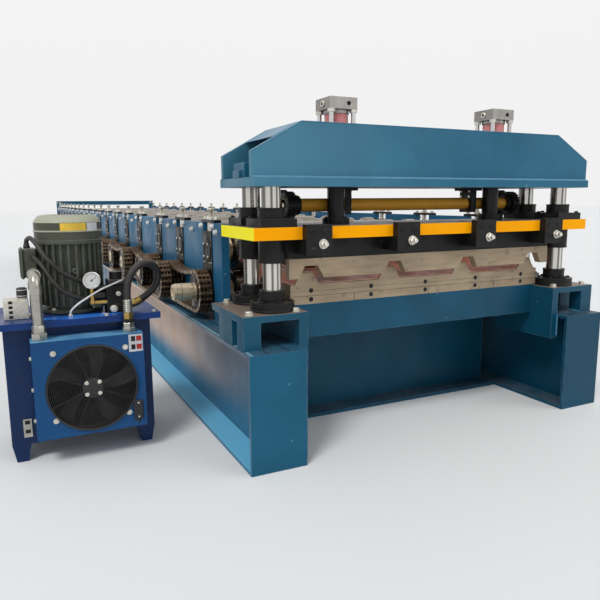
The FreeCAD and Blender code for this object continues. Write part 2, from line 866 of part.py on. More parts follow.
def entry_guide():
    """A cross beam on two uprights at the entry end, with a roller under the strip."""
    start = stands_back + s.entry_gap
    back = start + s.entry_beam
    half = s.entry_half_width
    posts = [block((x - s.entry_beam / 2, start, s.beam_height),
                   (x + s.entry_beam / 2, back, s.entry_height - s.entry_beam))
             for x in (-half, half)]
    beam = block((-half - s.entry_beam / 2, start, s.entry_height - s.entry_beam),
                 (half + s.entry_beam / 2, back, s.entry_height))
    keep(fuse(posts + [beam]), "entry_frame")
    inner = half - s.entry_beam / 2
    keep(rod((-inner, start + s.entry_beam / 2, sheet_height - s.entry_roller_radius),
             s.entry_roller_radius, 2 * inner, (1, 0, 0)), "entry_roller")


def hydraulic_tank():
    """Oil tank on four tapered feet with an overhanging lid."""
    front = -s.tank_front
    back = front + s.tank_depth
    tank = block((-s.tank_left, front, s.tank_bottom), (-s.tank_right, back, s.tank_top))
    over = s.lid_overhang
    keep(block((-s.tank_left - over, front - over, s.tank_top),
               (-s.tank_right + over, back + over, s.tank_top + s.lid_thickness)), "tank_lid")
    feet = []
    zero = as_size(0)
    width = s.foot_width
    outline = [(s.foot_taper, zero), (width - s.foot_taper, zero), (width, s.tank_bottom),
               (zero, s.tank_bottom)]
    for x in (-s.tank_left, -s.tank_right - width):
        for y in (front, back - width):
            feet.append(prism("XZ_Plane", outline, width, (x, y, 0)))
    keep(fuse([tank] + feet), "oil_tank")


def oil_cooler():
    """A box with a round opening, a fan on its motor inside, and a wire guard over it."""
    front = -s.tank_front - s.cooler_depth
    box = block((-s.cooler_left, front, s.cooler_bottom), (-s.cooler_right, -s.tank_front, s.cooler_top))
    x = -s.fan_centre_x
    z = s.fan_centre_z
    room = s.cooler_depth - s.cooler_core
    back = front + room
    opening = rod((x, front, z), s.fan_radius + s.fan_clearance, room, (0, 1, 0))
    keep(cut(box, [opening]), "cooler_housing")
    fan_front = back - s.fan_motor - s.seat - s.fan_depth
    keep(rod((x, back - s.fan_motor, z), s.fan_hub_radius, s.fan_motor, (0, 1, 0)), "fan_motor")
    blades = [rod((x, fan_front, z), s.fan_hub_radius, s.fan_depth, (0, 1, 0))]
    for index in range(FAN_BLADES):
        angle = index * 360 / FAN_BLADES
        blade = doc.addObject("Part::Box", "Blade")
        start = s.fan_hub_radius - s.fan_blade_root
        bind(blade, "Length", s.fan_radius - start)
        bind(blade, "Width", s.fan_blade_width)
        bind(blade, "Height", s.fan_blade)
        tilt = Rotation(Vector(0, 1, 0), angle) * Rotation(Vector(1, 0, 0), FAN_PITCH)
        corner = tilt.multVec(Vector(1, 0, 0))
        across = tilt.multVec(Vector(0, 1, 0))
        middle = (x, fan_front + s.fan_depth / 2, z)
        base = [middle[axis] + corner[axis] * start - across[axis] * (s.fan_blade_width / 2)
                for axis in range(3)]
        place(blade, base, tilt)
        blades.append(blade)
    keep(fuse(blades), "cooler_fan")

    rings = []
    wire = s.guard_wire
    step = (s.fan_radius + s.fan_clearance - s.fan_hub_radius) / GUARD_RINGS
    for index in range(1, GUARD_RINGS + 1):
        outer = s.fan_hub_radius + index * step
        rings.append(ring((x, front - wire, z), outer + wire, outer, wire, (0, -1, 0)))
    rings.append(rod((x, front - wire, z), s.fan_hub_radius, wire, (0, -1, 0)))
    keep(group(rings), "guard_rings")
    spokes = []
    for index in range(GUARD_SPOKES):
        angle = (index + 0.5) * 360 / GUARD_SPOKES
        spoke = doc.addObject("Part::Box", "Spoke")
        bind(spoke, "Length", s.fan_radius + s.fan_clearance + s.guard_lap - s.guard_hub)
        bind(spoke, "Width", wire)
        bind(spoke, "Height", wire)
        turn = Rotation(Vector(0, 1, 0), angle)
        out = turn.multVec(Vector(1, 0, 0))
        up = turn.multVec(Vector(0, 0, 1))
        base = (x + out.x * s.guard_hub - up.x * (wire / 2), front - wire,
                z + out.z * s.guard_hub - up.z * (wire / 2))
        place(spoke, base, turn)
        spokes.append(spoke)
    keep(group(spokes), "guard_spokes")


def finned(core, x, y, z):
    """The motor's round core with its cooling fins."""
    fins = []
    for index in range(MOTOR_FINS):
        turn = Rotation(Vector(0, 0, 1), (index + 0.5) * 360 / MOTOR_FINS)
        out = turn.multVec(Vector(1, 0, 0))
        side = turn.multVec(Vector(0, 1, 0))
        fin = doc.addObject("Part::Box", "Fin")
        start = s.motor_core_radius - s.motor_fin
        bind(fin, "Length", s.motor_radius - start)
        bind(fin, "Width", s.motor_fin)
        bind(fin, "Height", s.motor_body_height)
        place(fin, (x + out.x * start - side.x * (s.motor_fin / 2),
                    y + out.y * start - side.y * (s.motor_fin / 2), z), turn)
        fins.append(fin)
    return fuse([core] + fins)


def pump_motor():
    """A finned vertical motor on the lid with a fan cover and a terminal box."""
    x = -s.motor_x
    y = s.motor_y
    z = s.tank_top + s.lid_thickness
    body_low = z + s.motor_base
    cover_low = body_low + s.motor_body_height
    flange = rod((x, y, z), s.motor_base_radius, s.motor_base)
    core = rod((x, y, body_low), s.motor_core_radius, s.motor_body_height)
    keep(fuse([flange, finned(core, x, y, body_low)]), "motor_body")
    zero = as_size(0)
    rim = s.motor_radius + s.motor_cover_wall
    top = s.motor_cover_height
    chamfer = s.motor_cover_chamfer
    profile = [(zero, zero), (rim, zero), (rim, top - chamfer), (rim - chamfer, top), (zero, top)]
    keep(turned(profile, (x, y, cover_low)), "motor_fan_cover")
    side = x - s.motor_radius
    keep(block((side - s.terminal_width, y - s.terminal_depth / 2, s.terminal_bottom),
               (side, y + s.terminal_depth / 2, s.terminal_bottom + s.terminal_height)), "terminal_box")


def valves():
    """The valve block, the pressure gauge on its pipe, and the oil return pipe."""
    z = s.tank_top + s.lid_thickness
    half = s.manifold_side / 2
    top = z + s.manifold_height
    manifold = block((-s.manifold_x - half, s.manifold_y - half, z),
                     (half - s.manifold_x, s.manifold_y + half, top))
    valve = rod((-s.manifold_x, s.manifold_y, top), s.valve_radius, s.valve_height)
    keep(fuse([manifold, valve]), "valve_block")
    keep(rod((-s.gauge_x, s.gauge_y, s.gauge_z), s.gauge_radius, s.gauge_depth, (0, 1, 0)),
         "pressure_gauge")
    pipe_y = s.gauge_y + s.gauge_depth / 2
    stem_low = z + s.gauge_pipe_rise
    stem = rod((-s.gauge_x, pipe_y, stem_low), s.gauge_pipe_radius,
               s.gauge_z - s.gauge_radius - stem_low)
    run = rod((-s.gauge_x, pipe_y, stem_low), s.gauge_pipe_radius,
              s.gauge_x - s.manifold_x - half, (1, 0, 0))
    elbow = doc.addObject("Part::Sphere", "Elbow")
    bind(elbow, "Radius", s.gauge_pipe_radius + s.elbow_wall)
    place(elbow, (-s.gauge_x, pipe_y, stem_low))
    keep(fuse([stem, run, elbow]), "gauge_pipe")
    y = -s.tank_front - s.lid_overhang - s.return_pipe_radius - s.pipe_gap
    union = hexagon((-s.return_pipe_x, y, s.cooler_top), s.union_flats, s.union_height)
    pipe_low = s.cooler_top + s.union_height
    across = rod((-s.return_pipe_x, y, s.return_pipe_top), s.return_pipe_radius, s.return_reach, (0, 1, 0))
    rise = rod((-s.return_pipe_x, y, pipe_low), s.return_pipe_radius, s.return_pipe_top - pipe_low)
    drop = rod((-s.return_pipe_x, y + s.return_reach, z), s.return_pipe_radius, s.return_pipe_top - z)
    bends = [doc.addObject("Part::Sphere", "Bend") for _ in range(2)]
    for bend, spot in zip(bends, (y, y + s.return_reach)):
        bind(bend, "Radius", s.return_pipe_radius)
        place(bend, (-s.return_pipe_x, spot, s.return_pipe_top))
    keep(fuse([union, rise, across, drop] + bends), "return_pipe")


STAGES = (base_frame, stands, bearings, rolls, chain_drive, formed_sheet, guides, blades, slide, crown,
          cylinders, levelling_gear, entry_guide, hydraulic_tank, oil_cooler, pump_motor, valves)
for build in STAGES:
    build()

doc.recompute()


def failed(thing):
    return any(word in state for state in thing.State for word in ("Invalid", "Error"))


for thing in doc.Objects:
    if failed(thing):
        raise RuntimeError(f"{thing.Label} failed: {thing.State}")
os.makedirs("parts", exist_ok=True)
for thing in parts:
    if thing.Shape.isNull() or not thing.Shape.isValid():
        raise RuntimeError(f"{thing.Label} has no valid shape")
for thing in parts:
    thing.Shape.exportStep(f"parts/{thing.Label}.step")
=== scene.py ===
"""Looks of a roll forming machine with its guillotine cutter and hydraulic unit.

Metres, +Z up, X across the machine, Y back along it from the cutter to the entry end.
"""
import bpy
import bmesh
import random
from math import cos, dist, pi, radians, sin, sqrt
from mathutils import Matrix, Vector

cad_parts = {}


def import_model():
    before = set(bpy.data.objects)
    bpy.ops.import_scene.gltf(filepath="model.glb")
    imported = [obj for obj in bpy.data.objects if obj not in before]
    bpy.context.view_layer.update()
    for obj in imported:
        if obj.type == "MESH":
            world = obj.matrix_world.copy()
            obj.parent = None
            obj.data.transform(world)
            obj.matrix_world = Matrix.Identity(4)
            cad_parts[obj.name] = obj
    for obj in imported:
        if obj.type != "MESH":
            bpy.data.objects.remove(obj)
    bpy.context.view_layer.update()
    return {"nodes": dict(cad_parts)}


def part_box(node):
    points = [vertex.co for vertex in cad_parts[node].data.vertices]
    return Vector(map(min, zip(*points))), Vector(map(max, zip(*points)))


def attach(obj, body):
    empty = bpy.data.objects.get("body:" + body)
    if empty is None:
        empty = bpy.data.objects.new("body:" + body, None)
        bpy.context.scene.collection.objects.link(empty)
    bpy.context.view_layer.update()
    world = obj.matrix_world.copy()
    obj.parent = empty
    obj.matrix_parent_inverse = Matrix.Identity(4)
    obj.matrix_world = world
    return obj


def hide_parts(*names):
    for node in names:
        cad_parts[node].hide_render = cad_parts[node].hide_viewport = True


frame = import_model()
nodes = frame["nodes"]

X, Y, Z = Vector((1, 0, 0)), Vector((0, 1, 0)), Vector((0, 0, 1))
SIDES = (-1, 1)
CORNERS = [(a, b) for a in SIDES for b in SIDES]
SHARP_ANGLE = radians(32)

# Layout shared by the pieces
STATIONS = 18
STATIONS_BEFORE_GAP = 3
FIRST_STATION = 0.174
STATION_PITCH = 0.43
STATION_GAP = 0.09
BEAM_X = 0.7
BEAM_TOP = 0.4
STAND_FACE = 0.716
STAND_TOP = 0.792
BEARING_FACE = 0.72
CUTTER_Y = -0.265
CYLINDER_X = 0.366


def station_y(index):
    """Y of a roll station, counted from the cutter."""
    return FIRST_STATION + index * STATION_PITCH + (STATION_GAP if index >= STATIONS_BEFORE_GAP else 0)


def middle_of(node):
    low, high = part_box(node)
    return (low + high) / 2


LOWER_Z = 0.516
UPPER_Z = middle_of("upper_rolls").z


# Materials

def srgb(red, green, blue):
    """A colour given as it looks on a screen, 0 to 255."""
    linear = []
    for part in (red, green, blue):
        part /= 255
        linear.append(part / 12.92 if part <= 0.04045 else ((part + 0.055) / 1.055) ** 2.4)
    return (*linear, 1)


def shade(colour, share):
    return (*[part * share for part in colour[:3]], 1)


class Look:
    """A material under construction, painted in the row frame."""

    def __init__(self, name, colour, rough=0.4, metallic=0.0, coat=0.0, specular=0.5):
        self.material = bpy.data.materials.new(name)
        self.material.use_nodes = True
        self.tree = self.material.node_tree
        self.shader = self.tree.nodes["Principled BSDF"]
        for key, value in (("Metallic", metallic), ("Roughness", rough), ("Coat Weight", coat),
                           ("Specular IOR Level", specular), ("Base Color", colour)):
            self.shader.inputs[key].default_value = value
        self.where = self.add("ShaderNodeTexCoord").outputs["Object"]
        self.colour = self.add("ShaderNodeRGB").outputs[0]
        self.colour.default_value = colour

    def add(self, kind, **settings):
        node = self.tree.nodes.new(kind)
        for key, value in settings.items():
            setattr(node, key, value)
        return node

    def join(self, source, target):
        self.tree.links.new(source, target)

    def feed(self, value, socket):
        """Set a number or a colour on a socket, or join an output to it."""
        if isinstance(value, (int, float, tuple)):
            socket.default_value = value
        else:
            self.join(value, socket)

    def noise(self, scale, detail=3.0, stretch=(1, 1, 1), shift=0.0):
        """Noise in the row frame. A smaller stretch draws it out along that axis."""
        place = self.add("ShaderNodeMapping")
        place.inputs["Scale"].default_value = stretch
        place.inputs["Location"].default_value = (shift, shift, shift)
        self.join(self.where, place.inputs["Vector"])
        node = self.add("ShaderNodeTexNoise")
        node.inputs["Scale"].default_value = scale
        node.inputs["Detail"].default_value = detail
        self.join(place.outputs[0], node.inputs["Vector"])
        return node.outputs["Fac"]

    def remap(self, value, low, high, to_low=0.0, to_high=1.0):
        """A value from low to high carried over to another span, with soft ends."""
        node = self.add("ShaderNodeMapRange", interpolation_type="SMOOTHSTEP")
        for key, number in (("From Min", low), ("From Max", high), ("To Min", to_low), ("To Max", to_high)):
            node.inputs[key].default_value = number
        self.join(value, node.inputs["Value"])
        return node.outputs["Result"]

    def maths(self, operation, *values):
        node = self.add("ShaderNodeMath", operation=operation)
        for value, socket in zip(values, node.inputs):
            self.feed(value, socket)
        return node.outputs[0]

    def times(self, first, *others):
        for other in others:
            first = self.maths("MULTIPLY", first, other)
        return first

    def part(self, vector, name):
        node = self.add("ShaderNodeSeparateXYZ")
        self.join(vector, node.inputs[0])
        return node.outputs[name]

    def axis(self, name):
        return self.part(self.where, name)

    def facing(self, name):
        """How far the surface faces along an axis."""
        return self.part(self.add("ShaderNodeNewGeometry").outputs["Normal"], name)

    def tops(self):
        return self.remap(self.facing("Z"), 0.8, 0.95)

    def left_sides(self):
        return self.remap(self.times(self.facing("X"), -1), 0.6, 0.95)

    def gap(self, axis, place):
        """Distance from a plane square to an axis."""
        return self.maths("ABSOLUTE", self.maths("SUBTRACT", self.axis(axis), place))

    def mix(self, share, first, second):
        node = self.add("ShaderNodeMix", data_type="RGBA")
        for index, value in ((0, share), (6, first), (7, second)):
            self.feed(value, node.inputs[index])
        return node.outputs[2]

    def tint(self, colour, share):
        """Lay another colour over what is there, by a share from 0 to 1."""
        self.colour = self.mix(share, self.colour, colour)
        return self

    def vary(self, scale, amount, darker, stretch=(1, 1, 1)):
        """Slow change of tone over the surface."""
        return self.tint(darker, self.remap(self.noise(scale, 4, stretch), 0.35, 0.7, 0, amount))

    def specks(self, scale, colour, threshold=0.68, amount=0.8, stretch=(1, 1, 1)):
        """Small spots, chips or stains."""
        return self.tint(colour, self.remap(self.noise(scale, 2, stretch, 3.7), threshold, threshold + 0.05,
                                            0, amount))

    def dust(self, colour, amount):
        """Dust that lies on upward faces, thicker in patches."""
        up = self.remap(self.facing("Z"), 0.5, 0.95)
        return self.tint(colour, self.times(up, self.remap(self.noise(9, 5), 0.3, 0.75, 0.3, 1), amount))

    def edge_wear_and_highlight(self, colour, radius, amount):
        """Edges rubbed to another colour. On the enamels the pale edge colour is also a painted edge
        highlight.
        """
        bevel = self.add("ShaderNodeBevel", samples=4)
        bevel.inputs["Radius"].default_value = radius
        product = self.add("ShaderNodeVectorMath", operation="DOT_PRODUCT")
        self.join(bevel.outputs[0], product.inputs[0])
        self.join(self.add("ShaderNodeNewGeometry").outputs["Normal"], product.inputs[1])
        edge = self.remap(product.outputs["Value"], 0.97, 0.8)
        return self.tint(colour, self.times(edge, self.remap(self.noise(38, 4), 0.35, 0.6), amount))

    def uneven(self, scale, low, high, stretch=(1, 1, 1)):
        """Roughness that changes over the surface."""
        self.join(self.remap(self.noise(scale, 4, stretch, 8.1), 0.3, 0.7, low, high),
                  self.shader.inputs["Roughness"])
        return self

    def bump(self, scale, strength, distance=0.001, stretch=(1, 1, 1)):
        node = self.add("ShaderNodeBump")
        node.inputs["Strength"].default_value = strength
        node.inputs["Distance"].default_value = distance
        self.join(self.noise(scale, 3.0, stretch, 1.3), node.inputs["Height"])
        self.join(node.outputs[0], self.shader.inputs["Normal"])
        return self

    def done(self):
        self.join(self.colour, self.shader.inputs["Base Color"])
        return self.material


DUST = srgb(150, 140, 126)
RUST = srgb(110, 62, 34)
# Pale blue-grey for chips and rubbed enamel edges, and also a painted highlight along the edges.
EDGE_WEAR_AND_HIGHLIGHT = srgb(150, 170, 178)
TEAL = srgb(36, 100, 128)
TEAL_DARK = srgb(22, 80, 106)


def enamel(name, colour, dark, dust=0.25, coat=0.05, rough=0.36, specular=0.2, edge=EDGE_WEAR_AND_HIGHLIGHT):
    """Machine enamel with dust, edge wear that is partly a painted edge highlight, and a fine orange peel."""
    look = Look(name, colour, rough, coat=coat, specular=specular)
    look.shader.inputs["Coat Roughness"].default_value = 0.18
    look.vary(1.6, 0.75, dark).vary(7, 0.3, dark).specks(42, edge, 0.74, 0.35)
    look.dust(DUST, dust).edge_wear_and_highlight(edge, 0.003, 0.45).uneven(5, rough * 0.8, rough * 1.5)
    return look.bump(160, 0.12, 0.0006)


def beam_enamel():
    """The left beam's long face is painted lighter as if lit, with a painted reflection of a brown floor
    above and a bright one below. The top of its foot has a painted highlight, and its top has a painted
    highlight line at the outer edge and two dark lines further in."""
    look = enamel("beam_enamel", srgb(20, 88, 116), srgb(12, 68, 92), dust=0.2)
    web_face = look.times(look.left_sides(), look.remap(look.axis("X"), -0.71, -0.69, 1, 0))
    # Painted light: the left-facing web face is made lighter, as if lit.
    look.tint(srgb(64, 128, 166), look.times(web_face, 0.55))
    # Painted reflection of the floor on the web face, in patches above the foot, fading out towards the back.
    above_foot = look.remap(look.axis("Z"), 0.05, 0.19)
    patches = look.remap(look.noise(2.1, 4, (1, 0.6, 1)), 0.32, 0.6, 0.6, 1.0)
    share = look.times(web_face, look.times(above_foot, patches))
    floor_reflection = look.mix(look.remap(look.axis("Y"), -0.35, 1.1), srgb(96, 110, 124), srgb(228, 184, 148))
    look.tint(floor_reflection, look.times(share, look.remap(look.axis("Y"), 1.6, 3.4, 1, 0.12)))
    # Painted highlight on the upward faces of the beam's foot.
    up = look.tops()
    look.tint(srgb(112, 188, 222), look.times(up, look.remap(look.axis("Z"), 0.02, 0.03, 1, 0)))
    # On the top: a painted highlight line at the outer edge and two dark lines further in.
    for place, half, colour, amount in ((-0.79, 0.006, srgb(150, 190, 206), 0.7),
                                        (-0.735, 0.004, srgb(18, 34, 44), 0.7),
                                        (-0.66, 0.005, srgb(16, 32, 42), 0.6)):
        line = look.remap(look.gap("X", place), half * 0.7, half, amount, 0)
        top = look.remap(look.axis("Z"), BEAM_TOP - 0.002, BEAM_TOP - 0.0005)
        look.tint(colour, look.times(line, top, up))
    return look


def cooler_enamel():
    """Bright blue with a painted highlight on its top."""
    look = enamel("cooler_enamel", srgb(10, 74, 126), srgb(8, 58, 100), 0.05, 0.1, edge=srgb(80, 134, 184))
    up = look.tops()
    # Painted highlight on the top faces, in patches.
    return look.tint(srgb(104, 164, 204), look.times(up, look.remap(look.noise(9, 3), 0.3, 0.6, 0.4, 1)))


def crown_enamel():
    """Teal that pales towards the lit left end."""
    look = enamel("crown_enamel", TEAL, TEAL_DARK)
    share = look.remap(look.axis("X"), -0.75, 0.2, 0.5, 0)
    return look.tint(srgb(92, 144, 164), look.times(share, look.remap(look.noise(5, 4), 0.2, 0.7, 0.6, 1)))


def post_chrome():
    """Hard chrome with a painted reflection of the hall as upright dark and bright bands."""
    look = Look("post_chrome", srgb(214, 210, 204), 0.16, metallic=0.75)
    across = look.maths("ADD", look.times(look.facing("X"), 11), look.facing("Y"))
    # Painted reflection: dark bands set by the way the surface faces.
    look.tint(srgb(70, 66, 60), look.remap(look.maths("SINE", across), 0.0, 0.7, 0, 0.8))
    return look.uneven(30, 0.1, 0.22, (1, 1, 0.08))


def stool_enamel():
    """Teal stools whose machined top plates are bare."""
    look = enamel("stool_enamel", srgb(22, 82, 106), srgb(12, 62, 84))
    up = look.tops()
    return look.tint(srgb(128, 112, 98), look.times(up, look.remap(look.axis("Z"), 0.505, 0.51)))


def slide_enamel():
    """Bright yellow edges round a bare, ground top and underside, with the left-facing ones painted lighter
    as if lit.
    """
    look = Look("slide_enamel", srgb(252, 168, 0), 0.45, specular=0.06)
    look.vary(3, 0.5, srgb(238, 150, 2)).specks(60, srgb(120, 90, 30), 0.76, 0.4)
    # Painted light: the left-facing sides are a paler yellow, as if lit.
    look.tint(srgb(255, 242, 0), look.left_sides())
    look.tint(srgb(112, 108, 104), look.remap(look.maths("ABSOLUTE", look.facing("Z")), 0.8, 0.95))
    return look.edge_wear_and_highlight(srgb(160, 130, 70), 0.0015, 0.4).uneven(6, 0.3, 0.45).bump(150, 0.12, 0.0006)


def steel(name, colour, rough, stretch=(1, 1, 1), dark=None, dust=0.1, rust=0.0, grain=90, metallic=0.9):
    """Bare metal with a directional grain, stains and a little rust."""
    look = Look(name, colour, rough, metallic=metallic)
    dark = dark or shade(colour, 0.6)
    look.vary(4, 0.6, dark).vary(grain, 0.35, dark, stretch)
    if rust:
        look.specks(14, RUST, 0.55, rust).specks(55, RUST, 0.62, rust)
    look.dust(DUST, dust).uneven(grain, rough * 0.75, rough * 1.35, stretch)
    return look.bump(grain * 1.6, 0.14, 0.0006, stretch)


def black_steel(name, rough=0.42):
    look = Look(name, srgb(26, 26, 25), rough, metallic=0.15, specular=0.25)
    look.vary(6, 0.6, srgb(16, 16, 16)).specks(34, srgb(82, 76, 66), 0.68, 0.4)
    look.dust(srgb(110, 100, 90), 0.2).edge_wear_and_highlight(srgb(112, 104, 96), 0.0016, 0.5)
    return look.uneven(18, rough * 0.7, rough * 1.4).bump(70, 0.16, 0.0007)


def oily_steel(name, colour, oil):
    """Dark brown, greasy drive parts."""
    look = Look(name, colour, 0.4, metallic=0.7)
    look.vary(10, 0.8, oil).specks(30, srgb(150, 120, 88), 0.6, 0.55).specks(80, srgb(30, 24, 20), 0.58, 0.7)
    look.dust(srgb(132, 110, 88), 0.3).edge_wear_and_highlight(srgb(176, 158, 134), 0.0012, 0.6).uneven(26, 0.25, 0.6)
    return look.bump(120, 0.3, 0.0008)


def coil_coating():
    """The glossy prepainted sheet, copper pink, with long soft darker and paler streaks and pale specks that
    are painted reflections.
    """
    look = Look("coil_coating", srgb(255, 172, 138), 0.3, coat=0.2)
    # Painted reflections: long darker and paler streaks and pale specks along the sheet.
    look.vary(7, 0.5, srgb(240, 104, 78), (1, 0.5, 1)).vary(11, 0.5, srgb(255, 232, 224), (1, 0.4, 1))
    look.specks(9, srgb(232, 226, 240), 0.62, 0.5, (1, 0.5, 1)).uneven(12, 0.12, 0.3, (1, 0.2, 1))
    return look.bump(16, 0.08, 0.001, (1, 0.3, 1))


def die_steel():
    """Ground tool steel with its joints between segments."""
    look = Look("die_steel", srgb(168, 150, 124), 0.44, metallic=0.3, specular=0.35)
    look.vary(6, 0.5, srgb(136, 120, 98)).vary(80, 0.35, srgb(120, 104, 84), (0.15, 1, 1))
    look.specks(26, srgb(104, 84, 64), 0.64, 0.4)
    seam = None
    for place in (-0.323, 0.011, 0.345):
        line = look.remap(look.gap("X", place), 0.0006, 0.0014, 1, 0)
        line = look.times(line, look.remap(look.axis("Z"), 0.5455, 0.5465, 1, 0))
        seam = look.maths("MAXIMUM", seam, line) if seam else line
    for place, amount in ((0.546, 0.8), (0.563, 0.5)):
        seam = look.maths("MAXIMUM", seam, look.remap(look.gap("Z", place), 0.0005, 0.0012, amount, 0))
    look.tint(srgb(48, 42, 38), seam)
    look.edge_wear_and_highlight(srgb(190, 184, 176), 0.0015, 0.6).uneven(60, 0.32, 0.55, (0.2, 1, 1))
    return look.bump(130, 0.14, 0.0006, (0.15, 1, 1))


def rubber(name, colour, rough=0.55):
    look = Look(name, colour, rough)
    look.vary(20, 0.6, shade(colour, 0.55)).dust(srgb(120, 108, 96), 0.3)
    return look.uneven(30, rough * 0.75, rough * 1.25).bump(220, 0.2, 0.0006)


def machine_green(name, colour, dark):
    return enamel(name, colour, dark, dust=0.12, rough=0.42)


LOOKS = {
    "teal": enamel("teal_enamel", TEAL, TEAL_DARK),
    # A darker copy of the same teal paint: painted shade on the right beam, the cross beams and the blade
    # beam.
    "shaded_teal": enamel("shaded_teal_enamel", srgb(14, 76, 102), srgb(8, 58, 80), dust=0.2),
    "beam": beam_enamel(),
    "stool": stool_enamel(),
    "crown": crown_enamel(),
    "post": post_chrome(),
    "yellow": slide_enamel(),
    "stand": enamel("stand_enamel", srgb(36, 100, 136), srgb(20, 72, 102), dust=0.15, specular=0.12),
    "crown_light": enamel("crown_light_enamel", srgb(84, 140, 170), srgb(56, 118, 150)),
    "tank": enamel("tank_enamel", srgb(12, 46, 92), srgb(8, 34, 72), 0.05, 0.1, edge=srgb(64, 108, 160)),
    "lid": enamel("lid_enamel", srgb(12, 58, 126), srgb(8, 42, 98), 0.04, 0.1, edge=srgb(66, 120, 184)),
    "cooler": cooler_enamel(),
    "amber": enamel("amber_enamel", srgb(244, 176, 60), srgb(206, 142, 44), dust=0.2),
    "label_red": enamel("label_red", srgb(176, 44, 44), srgb(150, 34, 36), dust=0.1),
    "red": enamel("red_enamel", srgb(236, 158, 152), srgb(208, 122, 118), dust=0.1),
    "green": machine_green("motor_green", srgb(80, 82, 70), srgb(58, 60, 52)),
    # A paler copy of the motor green: painted highlight for the fan cover's top and its ridge ring.
    "green_lit": machine_green("motor_green_lit", srgb(176, 178, 156), srgb(146, 148, 126)),
    "black": black_steel("black_oxide"),
    "gloss_black": black_steel("black_gloss", 0.24),
    "machined": die_steel(),
    "grey_steel": steel("grey_steel", srgb(158, 154, 150), 0.38, (1, 1, 0.2), rust=0.15),
    "chrome": steel("chrome", srgb(214, 214, 214), 0.1, (1, 1, 0.08), dust=0.0, grain=30, metallic=1.0),
    "roll": steel("roll_steel", srgb(150, 142, 132), 0.26, (0.1, 1, 1), rust=0.25, metallic=0.95),
    "chain": oily_steel("chain_steel", srgb(120, 98, 76), srgb(64, 50, 40)),
    "sprocket": oily_steel("sprocket_steel", srgb(56, 48, 42), srgb(26, 22, 20)),
    "hub": steel("hub_steel", srgb(216, 200, 170), 0.32, (0.3, 1, 1), rust=0.08, metallic=0.7),
    "core": rubber("radiator_core", srgb(22, 26, 30), 0.6),
    "galvanised": steel("galvanised", srgb(192, 190, 180), 0.32, dark=srgb(140, 138, 130), grain=24,
                        metallic=0.85),
    "zinc": steel("zinc", srgb(226, 222, 210), 0.34, rust=0.08, metallic=0.7),
    "brass": steel("brass", srgb(190, 160, 92), 0.34, rust=0.15),
    "sheet": coil_coating(),
    "plastic": rubber("black_plastic", srgb(28, 28, 30), 0.45),
    "rubber": rubber("hose_rubber", srgb(38, 35, 33)),
    "white": rubber("white_plastic", srgb(226, 226, 222), 0.4),
    "dial": Look("dial_face", srgb(206, 206, 202), 0.3, coat=0.5).vary(60, 0.15, srgb(214, 214, 208)),
    # Near-black: painted shade inside holes, sockets, ports and the fan's cavity; the cooler label's dark
    # cells are print.
    "hole": rubber("hole_dark", srgb(12, 12, 12), 0.8),
    "plate_yellow": rubber("plate_yellow", srgb(236, 196, 60), 0.35),
    "plate_white": rubber("plate_white", srgb(206, 208, 212), 0.35),
    "film": Look("film_blue", srgb(24, 124, 240), 0.25, coat=0.3).vary(30, 0.4, srgb(100, 176, 246)),
}
LOOKS = {name: look.done() for name, look in LOOKS.items()}

NODES_OF_LOOK = {
    "beam": "base_beam_left",
    # Painted shade: the darker copy of the teal.
    "shaded_teal": "base_beam_right cross_beams blade_beam",
    "teal": "entry_frame",
    "stand": "stand_plates_left stand_plates_right",
    "stool": "stools",
    "crown": "crown_base_plate crown_webs",
    "crown_light": "crown_cover",
    "black": "bearing_blocks post_sockets shaft_brackets fan_motor valve_block slide_bushes blade_clamps "
             "blade_holder slide_racks level_gears",
    "gloss_black": "cylinder_rods",
    "zinc": "adjusting_screws",
    "roll": "lower_rolls upper_rolls entry_roller",
    "sprocket": "sprockets",
    "chain": "drive_chains",
    "sheet": "formed_sheet",
    "post": "guide_posts",
    "machined": "lower_die upper_blade",
    "grey_steel": "cylinder_caps",
    "red": "cylinder_barrels",
    "chrome": "cylinder_tie_rods pressure_gauge",
    "yellow": "slide_plate",
    "amber": "level_shaft",
    "tank": "oil_tank",
    "lid": "tank_lid",
    "cooler": "cooler_housing",
    "plastic": "guard_rings guard_spokes cooler_fan",
    "green": "motor_body motor_fan_cover terminal_box",
    "brass": "gauge_pipe",
    "galvanised": "return_pipe",
}
for look, names in NODES_OF_LOOK.items():
    for name in names.split():
        nodes[name].data.materials.clear()
        nodes[name].data.materials.append(LOOKS[look])


# Mesh tools

def disc(radius, high, low=0):
    """Profile of a plain disc."""
    return [(0, low), (radius, low), (radius, high), (0, high)]


def collar(inner, outer, low, high, edge, rise=None):
    """Profile of a ring, or of a disc where inner is 0, with chamfered outer edges."""
    rise = rise or edge
    return [(inner, low), (outer - edge, low), (outer, low + rise), (outer, high - rise),
            (outer - edge, high), (inner, high)]


def turns(count, first=0.0):
    """Angles at even steps round a circle. The first is in degrees, the result in radians."""
    return [radians(first + 360 * step / count) for step in range(count)]


def polar(angle, radius, height=0.0):
    """A point on a circle round Z."""
    return Vector((cos(angle) * radius, sin(angle) * radius, height))


def upright(angle, radius, depth=0.0):
    """A point on a circle round Y."""
    return Vector((cos(angle) * radius, depth, sin(angle) * radius))


def add_object(name, data):
    piece = bpy.data.objects.new(name, data)
    bpy.context.scene.collection.objects.link(piece)
    return piece


def sides(axis):
    """Two unit vectors square to an axis."""
    axis = Vector(axis).normalized()
    other = Z if abs(axis.z) < 0.9 else X
    first = axis.cross(other).normalized()
    return first, axis.cross(first).normalized()


